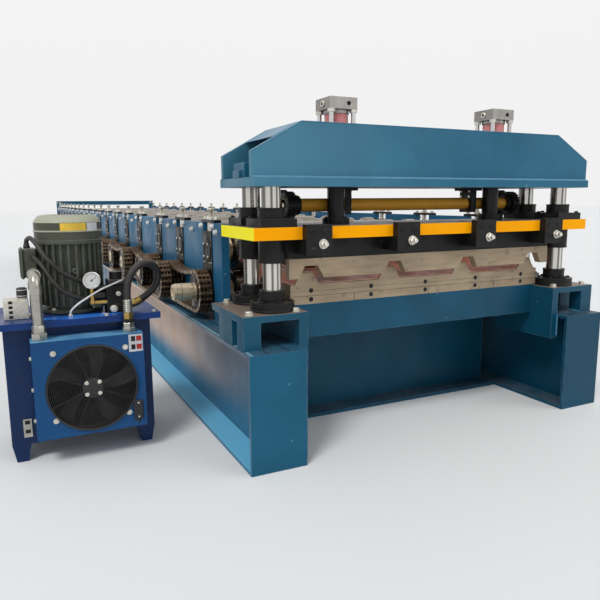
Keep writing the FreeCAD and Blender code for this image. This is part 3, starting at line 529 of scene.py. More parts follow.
class Form:
    """Faces gathered into one mesh object, each with one of its looks."""

    def __init__(self, name, body, slot, *looks):
        self.name, self.body, self.slot, self.looks = name, body, slot, looks
        self.points, self.faces, self.marks = [], [], []

    def add(self, points, faces, look=0):
        start = len(self.points)
        self.points += [tuple(point) for point in points]
        self.faces += [tuple(start + index for index in face) for face in faces]
        self.marks += [look] * len(faces)

    def lathe(self, profile, origin, axis=Z, segments=32, look=0):
        """A profile of (radius, height) turned about an axis."""
        first, second = sides(axis)
        axis, origin = Vector(axis).normalized(), Vector(origin)
        points, rings = [], []
        for radius, height in profile:
            if radius < 1e-6:
                rings.append([len(points)] * segments)
                points.append(origin + axis * height)
                continue
            rings.append([len(points) + step for step in range(segments)])
            for turn in turns(segments):
                points.append(origin + axis * height + (first * cos(turn) + second * sin(turn)) * radius)
        faces = []
        for low, high in zip(rings, rings[1:]):
            for step in range(segments):
                after = (step + 1) % segments
                face = list(dict.fromkeys((low[step], low[after], high[after], high[step])))
                if len(face) > 2:
                    faces.append(face)
        self.add(points, faces, look)

    def slab(self, low, high, edge=0.002, look=0):
        """A block with chamfered edges. Each corner has three points, one pushed out along each axis."""
        edge = min(edge, min(top - base for base, top in zip(low, high)) * 0.45)
        points, index = [], {}
        corners = [(a, b, c) for a in (0, 1) for b in (0, 1) for c in (0, 1)]
        for corner in corners:
            for axis in range(3):
                index[corner, axis] = len(points)
                points.append([(high[other] - edge * (other != axis)) if corner[other]
                               else (low[other] + edge * (other != axis)) for other in range(3)])
        faces = [[index[corner, axis] for axis in range(3)] for corner in corners]
        for axis in range(3):
            first, second = [other for other in range(3) if other != axis]

            def place(along, a, b):
                corner = [0, 0, 0]
                corner[axis], corner[first], corner[second] = along, a, b
                return tuple(corner)

            for along in (0, 1):
                faces.append([index[place(along, a, b), axis] for a, b in ((0, 0), (1, 0), (1, 1), (0, 1))])
            for a in (0, 1):
                for b in (0, 1):
                    start, end = place(0, a, b), place(1, a, b)
                    faces.append([index[start, first], index[end, first], index[end, second],
                                  index[start, second]])
        self.add(points, faces, look)

    def sheet(self, outline, along, look=0):
        """A flat outline of points pushed along a vector, with both ends closed."""
        count = len(outline)
        points = [Vector(point) for point in outline]
        points += [point + Vector(along) for point in points]
        faces = [list(range(count)), list(range(count, 2 * count))]
        faces += [[step, (step + 1) % count, count + (step + 1) % count, count + step]
                  for step in range(count)]
        self.add(points, faces, look)

    def tube(self, path, radius, segments=8, look=0, closed=False):
        """A round bar along points. The radius may be a list, one for each point."""
        path = [Vector(point) for point in path]
        count = len(path)
        radii = radius if isinstance(radius, list) else [radius] * count
        points, faces = [], []
        side = None
        for index, spot in enumerate(path):
            before = path[index - 1] if index or closed else spot
            after = path[(index + 1) % count] if index < count - 1 or closed else spot
            ahead = (after - before).normalized()
            side = side or sides(ahead)[0]
            side = (side - ahead * side.dot(ahead)).normalized()
            up = ahead.cross(side)
            for turn in turns(segments):
                points.append(spot + (side * cos(turn) + up * sin(turn)) * radii[index])
        for index in range(count if closed else count - 1):
            low, high = index * segments, (index + 1) % count * segments
            faces += [[low + step, low + (step + 1) % segments, high + (step + 1) % segments, high + step]
                      for step in range(segments)]
        if not closed:
            faces += [list(range(segments)), list(range((count - 1) * segments, count * segments))]
        self.add(points, faces, look)

    def hex_bolt(self, base, axis, flats, height, look=0, washer=0.0):
        """A hexagon head with a rounded top, on a washer where it has one."""
        thickness = 0.0015
        axis, base = Vector(axis).normalized(), Vector(base)
        if washer:
            self.lathe(disc(washer, thickness), base, axis, 20, look)
            base = base + axis * thickness
        corner = flats / sqrt(3)
        self.lathe([(0, 0), (corner, 0), (corner, height * 0.85), (corner * 0.86, height), (0, height)],
                   base, axis, 6, look)

    def cap_bolt(self, base, axis, radius, height, look=0, dark=1):
        """A round head with a recessed middle."""
        inner, edge = radius * 0.5, radius * 0.12
        self.lathe([(0, 0), (radius, 0), (radius, height - edge), (radius - edge, height),
                    (inner, height), (inner, height * 0.45)], base, axis, 18, look)
        self.lathe([(inner, height * 0.45), (0, height * 0.45)], base, axis, 18, dark)

    def weld(self, start, end, radius=0.004, look=0, seed=1):
        """A weld bead with its ripples."""
        start, end = Vector(start), Vector(end)
        chance = random.Random(seed)
        steps = max(4, int((end - start).length / 0.006))
        path = [start.lerp(end, step / steps) for step in range(steps + 1)]
        widths = [radius * (0.8 + 0.25 * (step % 2) + 0.15 * chance.random()) for step in range(steps + 1)]
        self.tube(path, widths, 6, look)

    def build(self, *replaced):
        """Make the object, in place of the CAD nodes that are named."""
        mesh = bpy.data.meshes.new(self.name)
        mesh.from_pydata(self.points, [], self.faces)
        for look in self.looks:
            mesh.materials.append(LOOKS[look])
        mesh.polygons.foreach_set("material_index", self.marks)
        mesh.polygons.foreach_set("use_smooth", [True] * len(self.faces))
        work = bmesh.new()
        work.from_mesh(mesh)
        bmesh.ops.recalc_face_normals(work, faces=work.faces)
        work.to_mesh(mesh)
        work.free()
        mesh.set_sharp_from_angle(angle=SHARP_ANGLE)
        piece = add_object(self.name, mesh)
        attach(piece, self.body)
        if replaced:
            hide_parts(*replaced)


def arc(centre_point, radius, start, end, steps, first, second):
    """Points along an arc in the plane of two unit vectors. Angles in degrees."""
    points = []
    for step in range(steps + 1):
        turn = radians(start + (end - start) * step / steps)
        points.append(Vector(centre_point) + (first * cos(turn) + second * sin(turn)) * radius)
    return points


# Roll stands

SHAFT_RADIUS = 0.035
ROLL_END = 0.62
RIB_CENTRES = (0.1725, 0.5175)
RIB_RISE = 0.043
RIB_HALF_TOP = 0.023
RIB_HALF_FOOT = 0.047
STATIONS_WITH_RIBS = 15
SCREW_RAISE = 0.012
BRIDGE = 0.012
END_PLATE = 0.233


def forming_rolls():
    """Both roll sets. The ribs grow from station to station towards the cutter."""
    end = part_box("lower_rolls")[1].x
    for name, height, radius, rise in (("lower_rolls", LOWER_Z, 0.072, RIB_RISE),
                                       ("upper_rolls", UPPER_Z, 0.09, -RIB_RISE)):
        form = Form(name.replace("rolls", "forming_rolls"), "frame", "roll_steel", "roll", "hub")
        for index in range(STATIONS):
            share = max(0.0, 1 - index / STATIONS_WITH_RIBS) ** 0.8
            crest = radius + rise * share
            foot = RIB_HALF_FOOT - 0.012 * (1 - share)
            right = []
            for middle in RIB_CENTRES:
                right += [(radius, middle - foot - 0.022), (radius, middle - foot),
                          (crest, middle - RIB_HALF_TOP), (crest, middle + RIB_HALF_TOP),
                          (radius, middle + foot), (radius, middle + foot + 0.022)]
            right += [(radius, ROLL_END - 0.005), (radius - 0.004, ROLL_END), (SHAFT_RADIUS, ROLL_END),
                      (SHAFT_RADIUS, end), (0, end)]
            left = [(r, -h) for r, h in reversed(right)]
            spot = Vector((0, station_y(index), height))
            form.lathe(left + right, spot, X, 40)
            for side in SIDES:
                form.lathe(collar(SHAFT_RADIUS, 0.054, ROLL_END + 0.006, ROLL_END + 0.034, 0.002), spot,
                           X * side, 28, 1)
                form.cap_bolt(spot + Vector((side * (ROLL_END + 0.02), 0, 0.0525)), Z, 0.005, 0.003, 1, 0)
            for side in SIDES:
                for place in (0.06, 0.29, 0.405):
                    form.lathe([(radius + 0.0004, place), (radius + 0.0012, place + 0.001),
                                (radius + 0.0004, place + 0.002)], spot, X * side, 40, 1)
        form.build(name)


def adjusting_screws():
    """A bridge over each slot with a nut, a thread and a castle head, and the screw's foot below."""
    form = Form("screw_down_set", "frame", "zinc", "zinc", "black", "hole")
    bridge_top = STAND_TOP + BRIDGE
    low, high = bridge_top + 0.0125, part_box("adjusting_screws")[1].z + SCREW_RAISE - 0.011
    threads = int((high - low) / 0.003)
    screw = [(0, low)]
    for thread in range(threads):
        base = low + (high - low) * thread / threads
        screw += [(0.0078, base), (0.0094, base + (high - low) / threads / 2)]
    screw += [(0.0078, high), (0, high)]
    head = [(0, 0), (0.0135, 0), (0.0148, 0.003), (0.0148, 0.0085), (0.0125, 0.011), (0.006, 0.011),
            (0.005, 0.005), (0, 0.005)]
    foot = disc(0.0135, STAND_TOP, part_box("bearing_blocks")[1].z)
    for side in SIDES:
        for index in range(STATIONS):
            spot = Vector((side * BEAM_X, station_y(index), 0))
            half = Vector((0.016, 0.085, 0))
            form.slab(spot - half + Z * STAND_TOP, spot + half + Z * bridge_top, 0.0015, 1)
            form.hex_bolt(spot + Z * bridge_top, Z, 0.03, 0.011, 0, 0.0175)
            form.lathe(screw, spot, Z, 16)
            form.lathe(head, spot + Z * high, Z, 20)
            for turn in range(4):
                angle = turn * pi / 2 + 0.4
                form.lathe(disc(0.0032, 0.0015), spot + polar(angle, 0.0125, high + 0.0055), polar(angle, 1),
                           10, 2)
            for ahead in SIDES:
                form.hex_bolt((spot.x, spot.y + ahead * 0.068, bridge_top), Z, 0.017, 0.009, 0, 0.0115)
            form.lathe(foot, spot, Z, 18)
    form.build("adjusting_screws")


def stand_bolts():
    """White-capped bolts along the stands' outer faces and flanged covers on the bearings."""
    caps = Form("stand_bolts", "frame", "zinc", "zinc", "white")
    covers = Form("bearing_covers", "frame", "black_oxide", "black", "zinc", "hub")
    dome = [(0, 0.0015), (0.0105, 0.0015), (0.0105, 0.008), (0.0085, 0.0115), (0.0045, 0.0132), (0, 0.0136)]
    for side in SIDES:
        outward = X * side
        for index in range(STATIONS + 1):
            before = station_y(index - 1) if index else station_y(0) - END_PLATE
            after = station_y(index) if index < STATIONS else station_y(STATIONS - 1) + END_PLATE
            spots = [((before + after) / 2, 0.757)]
            if index < STATIONS:
                spots += [(after - 0.073, 0.778), (after + 0.073, 0.778)]
            for place, height in spots:
                base = Vector((side * STAND_FACE, place, height))
                caps.lathe(disc(0.0125, 0.0015), base, outward, 18)
                caps.lathe(dome, base, outward, 18, 1)
        for index in range(STATIONS):
            for height, bearing in ((LOWER_Z, 0.04), (UPPER_Z, 0.042)):
                if side < 0 and height < UPPER_Z:
                    continue
                base = Vector((side * BEARING_FACE, station_y(index), height))
                flange = [(0, 0), (bearing, 0), (bearing + 0.008, 0.001), (bearing + 0.008, 0.003),
                          (bearing, 0.0042), (0.03, 0.0042), (0.028, 0.002), (0, 0.002)]
                covers.lathe(flange, base, outward, 26)
                for angle in turns(4, 45):
                    spot = base + Vector((side * 0.0042, cos(angle) * 0.036, sin(angle) * 0.036))
                    covers.hex_bolt(spot, outward, 0.009, 0.0035, 1)
            half = Vector((0.001, 0.056, 0))
            for height in (0.63, 0.7):
                base = Vector((side * BEARING_FACE, station_y(index), height))
                covers.slab(base - half, base + half + Z * 0.003, 0.0005, 2)
    caps.build()
    covers.build()


# Chain drive

LANE = 0.055
CHAIN_WIDTH = 0.05
DRIVE_FACE = -0.725
TEETH = 20
TOOTH = ((-0.36, 0.0742), (-0.14, 0.0852), (0.14, 0.0852), (0.36, 0.0742))
PITCH_RADIUS = 0.0812
LINK = 0.0254
LINK_PLATE = [(-0.31, -0.24), (-0.31, 0.24), (-0.1, 0.36), (0.5, 0.27), (1.1, 0.36), (1.31, 0.24),
              (1.31, -0.24), (1.1, -0.36), (0.5, -0.27), (-0.1, -0.36)]


def chain_start(loop):
    """The outer side of a chain. The chains lie in two lanes in turn."""
    return DRIVE_FACE - LANE * (1 + loop % 2)


def sprocket_wheels():
    """Three toothed discs and a hub for each chain, and the last shaft's long end."""
    form = Form("toothed_sprockets", "frame", "chain_steel", "sprocket", "hub", "hole")
    outline = []
    for tooth in range(TEETH):
        for share, radius in TOOTH:
            angle = 2 * pi * (tooth + share) / TEETH
            outline.append((radius * cos(angle), radius * sin(angle)))
    for index in range(STATIONS):
        middle = Vector((0, station_y(index), LOWER_Z))
        starts = [chain_start(loop) for loop in (index - 1, index) if 0 <= loop < STATIONS - 1]
        for start in starts:
            for place in (0.0085, 0.025, 0.0415):
                form.sheet([(start + place - 0.0032, middle.y + y, middle.z + z) for y, z in outline],
                           X * 0.0064)
            form.lathe(collar(SHAFT_RADIUS, 0.052, 0.001, 0.049, 0.002), middle + X * start, X, 28)
        outer = min(starts)
        form.lathe([(0, outer - 0.004), (0.0325, outer - 0.004), (SHAFT_RADIUS, outer - 0.001),
                    (SHAFT_RADIUS, -BEARING_FACE), (0, -BEARING_FACE)], middle, X, 28, 1)
        form.lathe([(0, outer - 0.0045), (0.012, outer - 0.0045), (0.014, outer - 0.004)], middle, X, 16, 2)
        if index == 0:
            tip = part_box("sprockets")[0].x + 0.012
            length = outer - tip
            form.lathe([(0, 0.012), (0.02, 0.012), (0.022, 0), (0.031, 0), (0.033, 0.002), (0.033, 0.009),
                        (0.0355, 0.011), (0.0355, length - 0.012), (0.033, length - 0.01), (0.033, length),
                        (0, length)], middle + X * tip, X, 40, 1)
            form.lathe([(0.0356, 0.03), (0.0361, 0.031), (0.0356, 0.032)], middle + X * tip, X, 40)
    form.build("sprockets")


def chain_path(near, far, sag):
    """Points a link apart round two sprockets. The upper run sags."""
    run_steps, bend_steps = 60, 40
    line = []
    for start, end, side, drop in ((near, far, 1, sag), (far, near, -1, 0.003)):
        for step in range(run_steps):
            share = step / run_steps
            line.append((start + (end - start) * share, side * PITCH_RADIUS - drop * 4 * share * (1 - share)))
        for step in range(bend_steps):
            angle = side * pi / 2 - pi * step / bend_steps
            line.append((end + PITCH_RADIUS * cos(angle), PITCH_RADIUS * sin(angle)))
    following = line[1:] + line[:1]
    lengths = [0.0]
    for first, second in zip(line, following):
        lengths.append(lengths[-1] + dist(first, second))
    links = 2 * round(lengths[-1] / LINK / 2)
    points, index = [], 0
    for link in range(links):
        want = lengths[-1] * link / links
        while lengths[index + 1] < want:
            index += 1
        share = (want - lengths[index]) / max(1e-9, lengths[index + 1] - lengths[index])
        points.append([a + (b - a) * share for a, b in zip(line[index], following[index])])
    return points


def drive_chains():
    """Triple-strand roller chains. Each plate is a waisted outline between two pins."""
    for group, loops in enumerate((range(6), range(6, 12), range(12, STATIONS - 1))):
        form = Form(f"roller_chains_{group + 1}", "frame", "chain_steel", "chain", "hub")
        for loop in loops:
            start = chain_start(loop)
            points = chain_path(station_y(loop), station_y(loop + 1), 0.02 + 0.006 * (loop % 3))
            for index, (spot, after) in enumerate(zip(points, points[1:] + points[:1])):
                ahead = Vector((0, after[0] - spot[0], after[1] - spot[1]))
                across = X.cross(ahead)
                base = Vector((0, spot[0], spot[1] + LOWER_Z))
                shift = 0.0 if index % 2 else 0.0016
                for place in (0.0012, 0.0168, 0.0332, 0.0488):
                    side = shift if place < CHAIN_WIDTH / 2 else -shift
                    form.sheet([base + X * (start + place + side - 0.0009) + ahead * a + across * b
                                for a, b in LINK_PLATE], X * 0.0018)
                form.lathe(disc(0.0035, start + CHAIN_WIDTH, start), base, X, 6, 1)
                for place in (0.009, 0.025, 0.041):
                    form.lathe([(0.0075, -0.0055), (0.0075, 0.0055)], base + X * (start + place), X, 8)
        if group == 0:
            form.build("drive_chains")
        else:
            form.build()


# Cutter

POSTS = [(x, y) for x in (-0.66, 0.66) for y in (-0.354, -0.176)]
CROWN_EDGE = [(-0.7485, 0.08), (-0.574, 0.1772), (0.574, 0.1772), (0.7485, 0.08)]
STOOL_TOP = 0.513
STOOL_FRONT = -0.439
STOOL_WELD_Z = BEAM_TOP + 0.001
LEVEL_SHAFT = (-0.206, 0.861)


def crown_details():
    """Weld beads of the crown, the blocks at its ends and a painted highlight along its edges."""
    form = Form("crown_welds", "frame", "teal_paint", "teal", "crown_light")
    low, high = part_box("crown_webs")
    front, back, foot = low.y, high.y, low.z
    for place, radius, look, seed in ((front - 0.001, 0.0045, 1, 3), (back + 0.001, 0.0045, 1, 4),
                                      (front + 0.021, 0.004, 0, 5), (back - 0.021, 0.004, 0, 5)):
        form.weld((low.x, place, foot + 0.001), (high.x, place, foot + 0.001), radius, look, seed)
    cover_low, cover_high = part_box("crown_cover")
    slope_start, slope_end = (0.662, 1.08), (0.574, 1.127)
    for side in SIDES:
        for outer, height, depth in ((0.737, 0.05, 0.1), (0.749, 0.026, 0.06)):
            ends = sorted((side * outer, side * (outer - 0.03)))
            form.slab((ends[0], CUTTER_Y - depth / 2, foot), (ends[1], CUTTER_Y + depth / 2, foot + height))
        for place in (cover_low.y, cover_high.y):
            form.weld((side * slope_start[0], place, slope_start[1]),
                      (side * slope_end[0], place, slope_end[1]), 0.003, 1, 7)
    form.build()

    # Thin pale lines along the crown's edges and the base plate's front top edge: a painted edge highlight.
    rim = Form("crown_edge_highlight", "frame", "teal_paint", "crown_light")
    for place in (front - 0.0005, back + 0.0005):
        for first, second in zip(CROWN_EDGE, CROWN_EDGE[1:]):
            rim.tube([(first[0], place, foot + first[1]), (second[0], place, foot + second[1])], 0.0011, 6)
    low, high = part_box("crown_base_plate")
    rim.tube([(x, low.y + 0.0006, high.z - 0.0006) for x in (low.x, high.x)], 0.0012, 6)
    rim.build()


def cylinder_details():
    """Nuts, ports and the barrels' lips."""
    form = Form("cylinder_fittings", "frame", "machined_steel", "grey_steel", "zinc", "hole")
    cap_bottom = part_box("cylinder_caps")[1].z - 0.04
    port = cap_bottom + 0.02
    for side in SIDES:
        middle = Vector((side * CYLINDER_X, CUTTER_Y, 0))
        for a, b in CORNERS:
            corner = middle + Vector((a * 0.044, b * 0.044, 0))
            form.lathe(disc(0.0135, cap_bottom, cap_bottom - 0.011), corner, Z, 6, 1)
            form.lathe(disc(0.0135, 0.982, 0.97), corner, Z, 6, 1)
        form.lathe([(0.042, cap_bottom - 0.014), (0.0455, cap_bottom - 0.013), (0.0455, cap_bottom - 0.001),
                    (0.042, cap_bottom)], middle, Z, 36)
        form.cap_bolt(middle + Vector((-0.054, 0, port)), -X, 0.012, 0.004, 1, 2)
        form.lathe(disc(0.0075, 0.0012), middle + Vector((0.02, -0.054, port)), -Y, 16, 2)
    form.build()


def guide_details():
    """Screws and lips on the sockets and bushes, and the stools' bolts."""
    form = Form("socket_screws", "frame", "black_oxide", "black", "hole", "zinc")
    for x, y in POSTS:
        for angle in turns(6, 30):
            form.cap_bolt(Vector((x, y, 0)) + polar(angle, 0.06, 0.545), Z, 0.0075, 0.006)
        form.lathe([(0.043, 0.5755), (0.0445, 0.577), (0.0445, 0.5805), (0.043, 0.583)], (x, y, 0), Z, 36)
        form.lathe([(0.075, 0.5135), (0.0765, 0.515), (0.0765, 0.519), (0.075, 0.521)], (x, y, 0), Z, 40)
    for x, y in ((-0.745, -0.135), (-0.765, -0.405), (0.775, -0.405), (0.765, -0.14), (-0.6, -0.41),
                 (0.6, -0.41)):
        form.hex_bolt((x, y, STOOL_TOP), Z, 0.022, 0.011, 2, 0.016)
    form.build()

    ram = Form("bush_screws", "ram", "black_oxide", "black", "hole")
    for x, y in POSTS:
        for a, b in CORNERS:
            ram.cap_bolt((x + a * 0.052, y + b * 0.052, 0.82), Z, 0.0075, 0.006)
        for low in (0.674, 0.849):
            ram.lathe([(0.045, low), (0.0465, low + 0.001), (0.0465, low + 0.005), (0.045, low + 0.006)],
                      (x, y, 0), Z, 36)
    for side in SIDES:
        for angle in turns(6):
            rod = Vector((side * CYLINDER_X, CUTTER_Y, 0))
            ram.cap_bolt(rod + polar(angle, 0.041, 0.815), Z, 0.005, 0.004)
    ram.build()


def blade_details():
    """Bolts of the clamps, the die and the upper blade."""
    form = Form("clamp_bolts", "ram", "black_oxide", "black", "hole", "zinc")
    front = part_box("blade_clamps")[0].y
    for x in (-0.5325, -0.1775, 0.1775, 0.5325):
        for side in SIDES:
            form.cap_bolt((x + side * 0.024, front, 0.778), -Y, 0.0095, 0.003)
        base = Vector((x + 0.014, front, 0.737))
        form.hex_bolt(base, -Y, 0.024, 0.012, 2, 0.0165)
        form.lathe([(0, 0.0135), (0.008, 0.0135), (0.008, 0.024), (0.0065, 0.0255), (0, 0.0255)],
                   base, -Y, 16, 2)
        form.slab((x - 0.0475, front + 0.0002, 0.7015), (x + 0.0475, front + 0.006, 0.7065), 0.001)
    form.build()

    holes = Form("die_bolts", "frame", "machined_steel", "machined", "hole", "black")
    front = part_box("lower_die")[0].y
    for x in (-0.501, -0.252, -0.004, 0.246, 0.494):
        for height in (0.534, 0.565):
            base = Vector((x, front, height))
            holes.lathe([(0.0105, -0.0002), (0.0112, 0.0006), (0.0085, 0.0004)], base, -Y, 22)
            holes.lathe([(0.0087, 0.0005), (0.0, 0.0005)], base, -Y, 22, 1)
            holes.lathe([(0.0055, 0.0006), (0.0048, 0.0012), (0, 0.0012)], base, -Y, 6, 2)
    holes.build()

    upper = Form("upper_blade_bolts", "ram", "machined_steel", "machined", "hole")
    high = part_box("upper_blade")[1]
    for x in (-0.45, -0.27, -0.09, 0.09, 0.27, 0.45):
        upper.cap_bolt((x, high.y, high.z - 0.014), Y, 0.007, 0.004)
    upper.build()


def shaft_details():
    """Hubs on the levelling gears and the bolts of the shaft's brackets."""
    form = Form("gear_hubs", "level_shaft", "black_oxide", "black", "hole", "zinc")
    y, z = LEVEL_SHAFT
    gear_face, shaft_end = 0.513, 0.549
    for side in SIDES:
        form.lathe(collar(0.0241, 0.035, 0, 0.022, 0.001), (side * gear_face, y, z), -X * side, 32)
        form.cap_bolt((side * (gear_face - 0.011), y, z + 0.0345), Z, 0.004, 0.002)
        end = (side * shaft_end, y, z)
        form.lathe([(0, 0), (0.022, 0), (0.0235, -0.0012)], end, X * side, 28)
        form.lathe([(0, 0.0012), (0.008, 0.0012), (0.009, 0)], end, X * side, 18, 2)
    form.build()

    hangers = Form("bracket_bolts", "frame", "black_oxide", "black", "zinc")
    for side in SIDES:
        bracket = side * 0.3
        for ahead in (-0.024, 0.024):
            for height in (0.889, 0.912):
                for face in SIDES:
                    hangers.hex_bolt((bracket + face * 0.013, y + ahead, height), X * face, 0.012, 0.005, 1)
        hangers.slab((bracket - 0.04, y - 0.04, 0.913), (bracket + 0.04, y + 0.04, 0.9229), 0.0015)
    hangers.build()


def stool_welds():
    """Weld beads round the stools and at the beams' front ends."""
    form = Form("stool_welds", "frame", "teal_paint", "teal", "crown_light")
    step = STOOL_FRONT + 0.06
    for side in SIDES:
        outer, inner, beam = side * 0.795, side * 0.738, side * 0.6
        form.weld((inner, STOOL_FRONT, STOOL_WELD_Z), (inner, step, STOOL_WELD_Z), 0.004, 1, 11)
        form.weld((inner, step, STOOL_WELD_Z), (outer, step, STOOL_WELD_Z), 0.004, 1, 12)
        form.weld((inner, -0.33, STOOL_WELD_Z), (inner, -0.197, STOOL_WELD_Z), 0.004, 1, 13)
        form.weld((outer, STOOL_FRONT + 0.001, 0.4905), (outer, -0.12, 0.4905), 0.003, 0, 14)
        form.weld((beam, STOOL_FRONT, 0.399), (beam, STOOL_FRONT, 0.31), 0.0035, 1, 15)
    form.weld((-0.598, -0.486, 0.02), (-0.598, -0.486, 0.39), 0.003, 0, 16)
    for side in SIDES:
        form.weld((side * 0.598, 0, 0.02), (side * 0.598, 0, 0.38), 0.004, 1, 17)
    form.build()


# Hydraulic unit

FAN = Vector((-1.225, 0, 0.257))
GUARD_INNER, GUARD_OUTER = 0.036, 0.143
SHROUD_RADIUS = 0.1475
CORE_RADIUS = 0.1512
FAN_MOTOR_RADIUS = 0.0325
TANK_SEAM = 0.463
PIPE_RADIUS = 0.0165
HOSE_RADIUS = 0.0126
CONDUIT_RADIUS = 0.0076
PILOT_RADIUS = 0.0032


def cooler_guard():
    """Thin wire rings on straight spokes round a hub plate."""
    form = Form("fan_guard", "frame", "black_plastic", "plastic", "zinc")
    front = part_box("guard_rings")[0].y
    rings = 20
    for index in range(rings):
        radius = GUARD_INNER + (GUARD_OUTER - GUARD_INNER) * index / (rings - 1)
        form.tube([FAN + upright(turn, radius, front + 0.0024) for turn in turns(72)], 0.0011, 5, closed=True)
    form.tube([FAN + upright(turn, 0.1465, front + 0.004) for turn in turns(80)], 0.0034, closed=True)
    for turn in turns(8, 22.5):
        start, end = FAN + upright(turn, 0.03, front + 0.0048), FAN + upright(turn, 0.149, front + 0.0055)
        form.tube([start, start.lerp(end, 0.5), end], 0.0017, 6)
    form.lathe([(0, 0.0045), (0.03, 0.0045), (0.034, 0.0025), (0.036, -0.002), (0, -0.002)],
               FAN + Y * (front + 0.0046), -Y, 40)
    for a, b in CORNERS:
        form.lathe([(0, 0), (0.008, 0), (0.008, 0.001), (0.006, 0.0014), (0, 0.0015)],
                   FAN + Vector((a * 0.02, front + 0.0015, b * 0.019)), -Y, 20, 1)
    form.build("guard_rings", "guard_spokes")


def fan_wheel():
    """Curved, twisted blades on a domed hub."""
    middle = FAN + Y * middle_of("cooler_fan").y
    form = Form("fan_wheel", "fan", "black_plastic", "plastic", "zinc")
    form.lathe([(0, 0.014), (0.012, 0.0138), (0.024, 0.011), (0.031, 0.006), (0.032, 0.0), (0.032, -0.0125),
                (0, -0.0125)], middle, -Y, 40)
    form.lathe([(0, 0.0146), (0.006, 0.0146), (0.007, 0.0135)], middle, -Y, 18, 1)
    rows, columns, half_depth = 10, 8, 0.0125
    size = rows * columns
    faces = []
    for row in range(rows - 1):
        for column in range(columns - 1):
            base = row * columns + column
            quad = [base, base + 1, base + columns + 1, base + columns]
            faces += [quad, [size + index for index in reversed(quad)]]
    rim = list(range(columns)) + [row * columns + columns - 1 for row in range(1, rows)]
    rim += [(rows - 1) * columns + column for column in range(columns - 2, -1, -1)]
    rim += [row * columns for row in range(rows - 2, 0, -1)]
    faces += [[first, second, size + second, size + first] for first, second in zip(rim, rim[1:] + rim[:1])]
    for turn in turns(5):
        points = []
        for thickness in (0.0, 0.0014):
            for row in range(rows):
                share = row / (rows - 1)
                radius = 0.028 + 0.117 * share
                twist = radians(52 - 30 * share)
                for column in range(columns):
                    place = column / (columns - 1)
                    across = (place - 0.5) * (0.034 + 0.034 * share)
                    camber = 0.0035 * (1 - (2 * place - 1) ** 2)
                    angle = turn + 0.10 * share + 0.16 * share * share + across * cos(twist) / radius
                    depth = across * sin(twist) * 0.45 + camber + thickness
                    points.append(middle + upright(angle, radius, max(-half_depth, min(half_depth, depth))))
        form.add(points, faces)
    form.build("cooler_fan")


def cooler_details():
    """Fasteners, a sensor, bare labels, the fan's shroud and the core behind it."""
    low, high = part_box("cooler_housing")
    front = low.y
    form = Form("cooler_fittings", "frame", "cooler_blue", "cooler", "zinc", "plastic", "galvanised",
                "plate_white", "hole", "label_red")
    for x, z in ((low.x + 0.065, high.z - 0.042), (high.x - 0.062, high.z - 0.045),
                 (low.x + 0.06, low.z + 0.062), (high.x - 0.06, low.z + 0.055)):
        form.hex_bolt((x, front, z), -Y, 0.013, 0.0055, 1, 0.0095)
    for z in (low.z + 0.06, high.z - 0.06, (low.z + high.z) / 2):
        form.hex_bolt((low.x, front + 0.04, z), -X, 0.012, 0.005, 1, 0.008)
        form.hex_bolt((high.x, front + 0.04, z), X, 0.012, 0.005, 1, 0.008)
    for base in (high.z - 0.012, low.z):
        form.slab((low.x, front - 0.0012, base), (high.x, front + 0.002, base + 0.012), 0.001)
    form.slab((high.x - 0.05, front - 0.0016, high.z - 0.064), (high.x - 0.003, front, high.z - 0.003),
              0.0006, 4)
    for column in (0, 1):
        for row in (0, 1):
            x, z = high.x - 0.046 + column * 0.0215, high.z - 0.06 + row * 0.029
            form.slab((x + 0.004 * (1 - column), front - 0.0019, z + 0.004),
                      (x + 0.018, front - 0.0014, z + 0.022), 0.0002, 5 + column)
    sensor = high.x - 0.0285
    form.slab((sensor - 0.0165, front - 0.007, low.z + 0.026), (sensor + 0.0165, front, low.z + 0.096),
              0.003, 2)
    for z in (low.z + 0.036, low.z + 0.086):
        form.hex_bolt((sensor, front - 0.007, z), -Y, 0.006, 0.0008, 1)
    form.lathe([(0, 0), (0.007, 0), (0.0085, 0.004), (0.0085, 0.012), (0, 0.012)],
               (sensor, front + 0.006, low.z + 0.026), -Z, 16, 2)
    form.slab((low.x - 0.04, -0.034, 0.085), (low.x - 0.012, -0.0301, 0.15), 0.001, 3)
    for z in (0.1, 0.132):
        form.slab((low.x - 0.034, -0.0345, z), (low.x - 0.018, -0.0335, z + 0.013), 0.0003, 5)
    form.build()

    shroud = Form("fan_shroud", "frame", "cooler_blue", "cooler")
    rim = (SHROUD_RADIUS, front - 0.0005)
    shroud.lathe([rim, (SHROUD_RADIUS, front - 0.0014), (0.156, front - 0.0014), (0.1585, front - 0.0001)],
                 FAN, Y, 64)
    shroud.lathe([rim, (SHROUD_RADIUS, front + 0.004), (0.156, front + 0.004)], FAN, Y, 64)
    shroud.build()

    core = Form("radiator_core", "frame", "black_oxide", "core", "hole")
    back = high.y - 0.0222
    # The cavity's wall and the core's back are near-black: painted shade inside the fan's cavity.
    core.lathe([(CORE_RADIUS, front + 0.004), (CORE_RADIUS, back)], FAN, Y, 64, 1)
    core.lathe([(FAN_MOTOR_RADIUS, back), (CORE_RADIUS, back)], FAN, Y, 64, 1)
    inner = FAN_MOTOR_RADIUS + 0.0015
    for step in range(-28, 29):
        across = step * 0.0053
        reach = sqrt(max(0.0, (CORE_RADIUS - 0.0007) ** 2 - across ** 2))
        for start, end in [(-reach, -inner), (inner, reach)] if abs(across) < inner else [(-reach, reach)]:
            core.slab((FAN.x + start, back - 0.003, FAN.z + across - 0.0006),
                      (FAN.x + end, back - 0.0002, FAN.z + across + 0.0006), 0.0001)
    core.build()


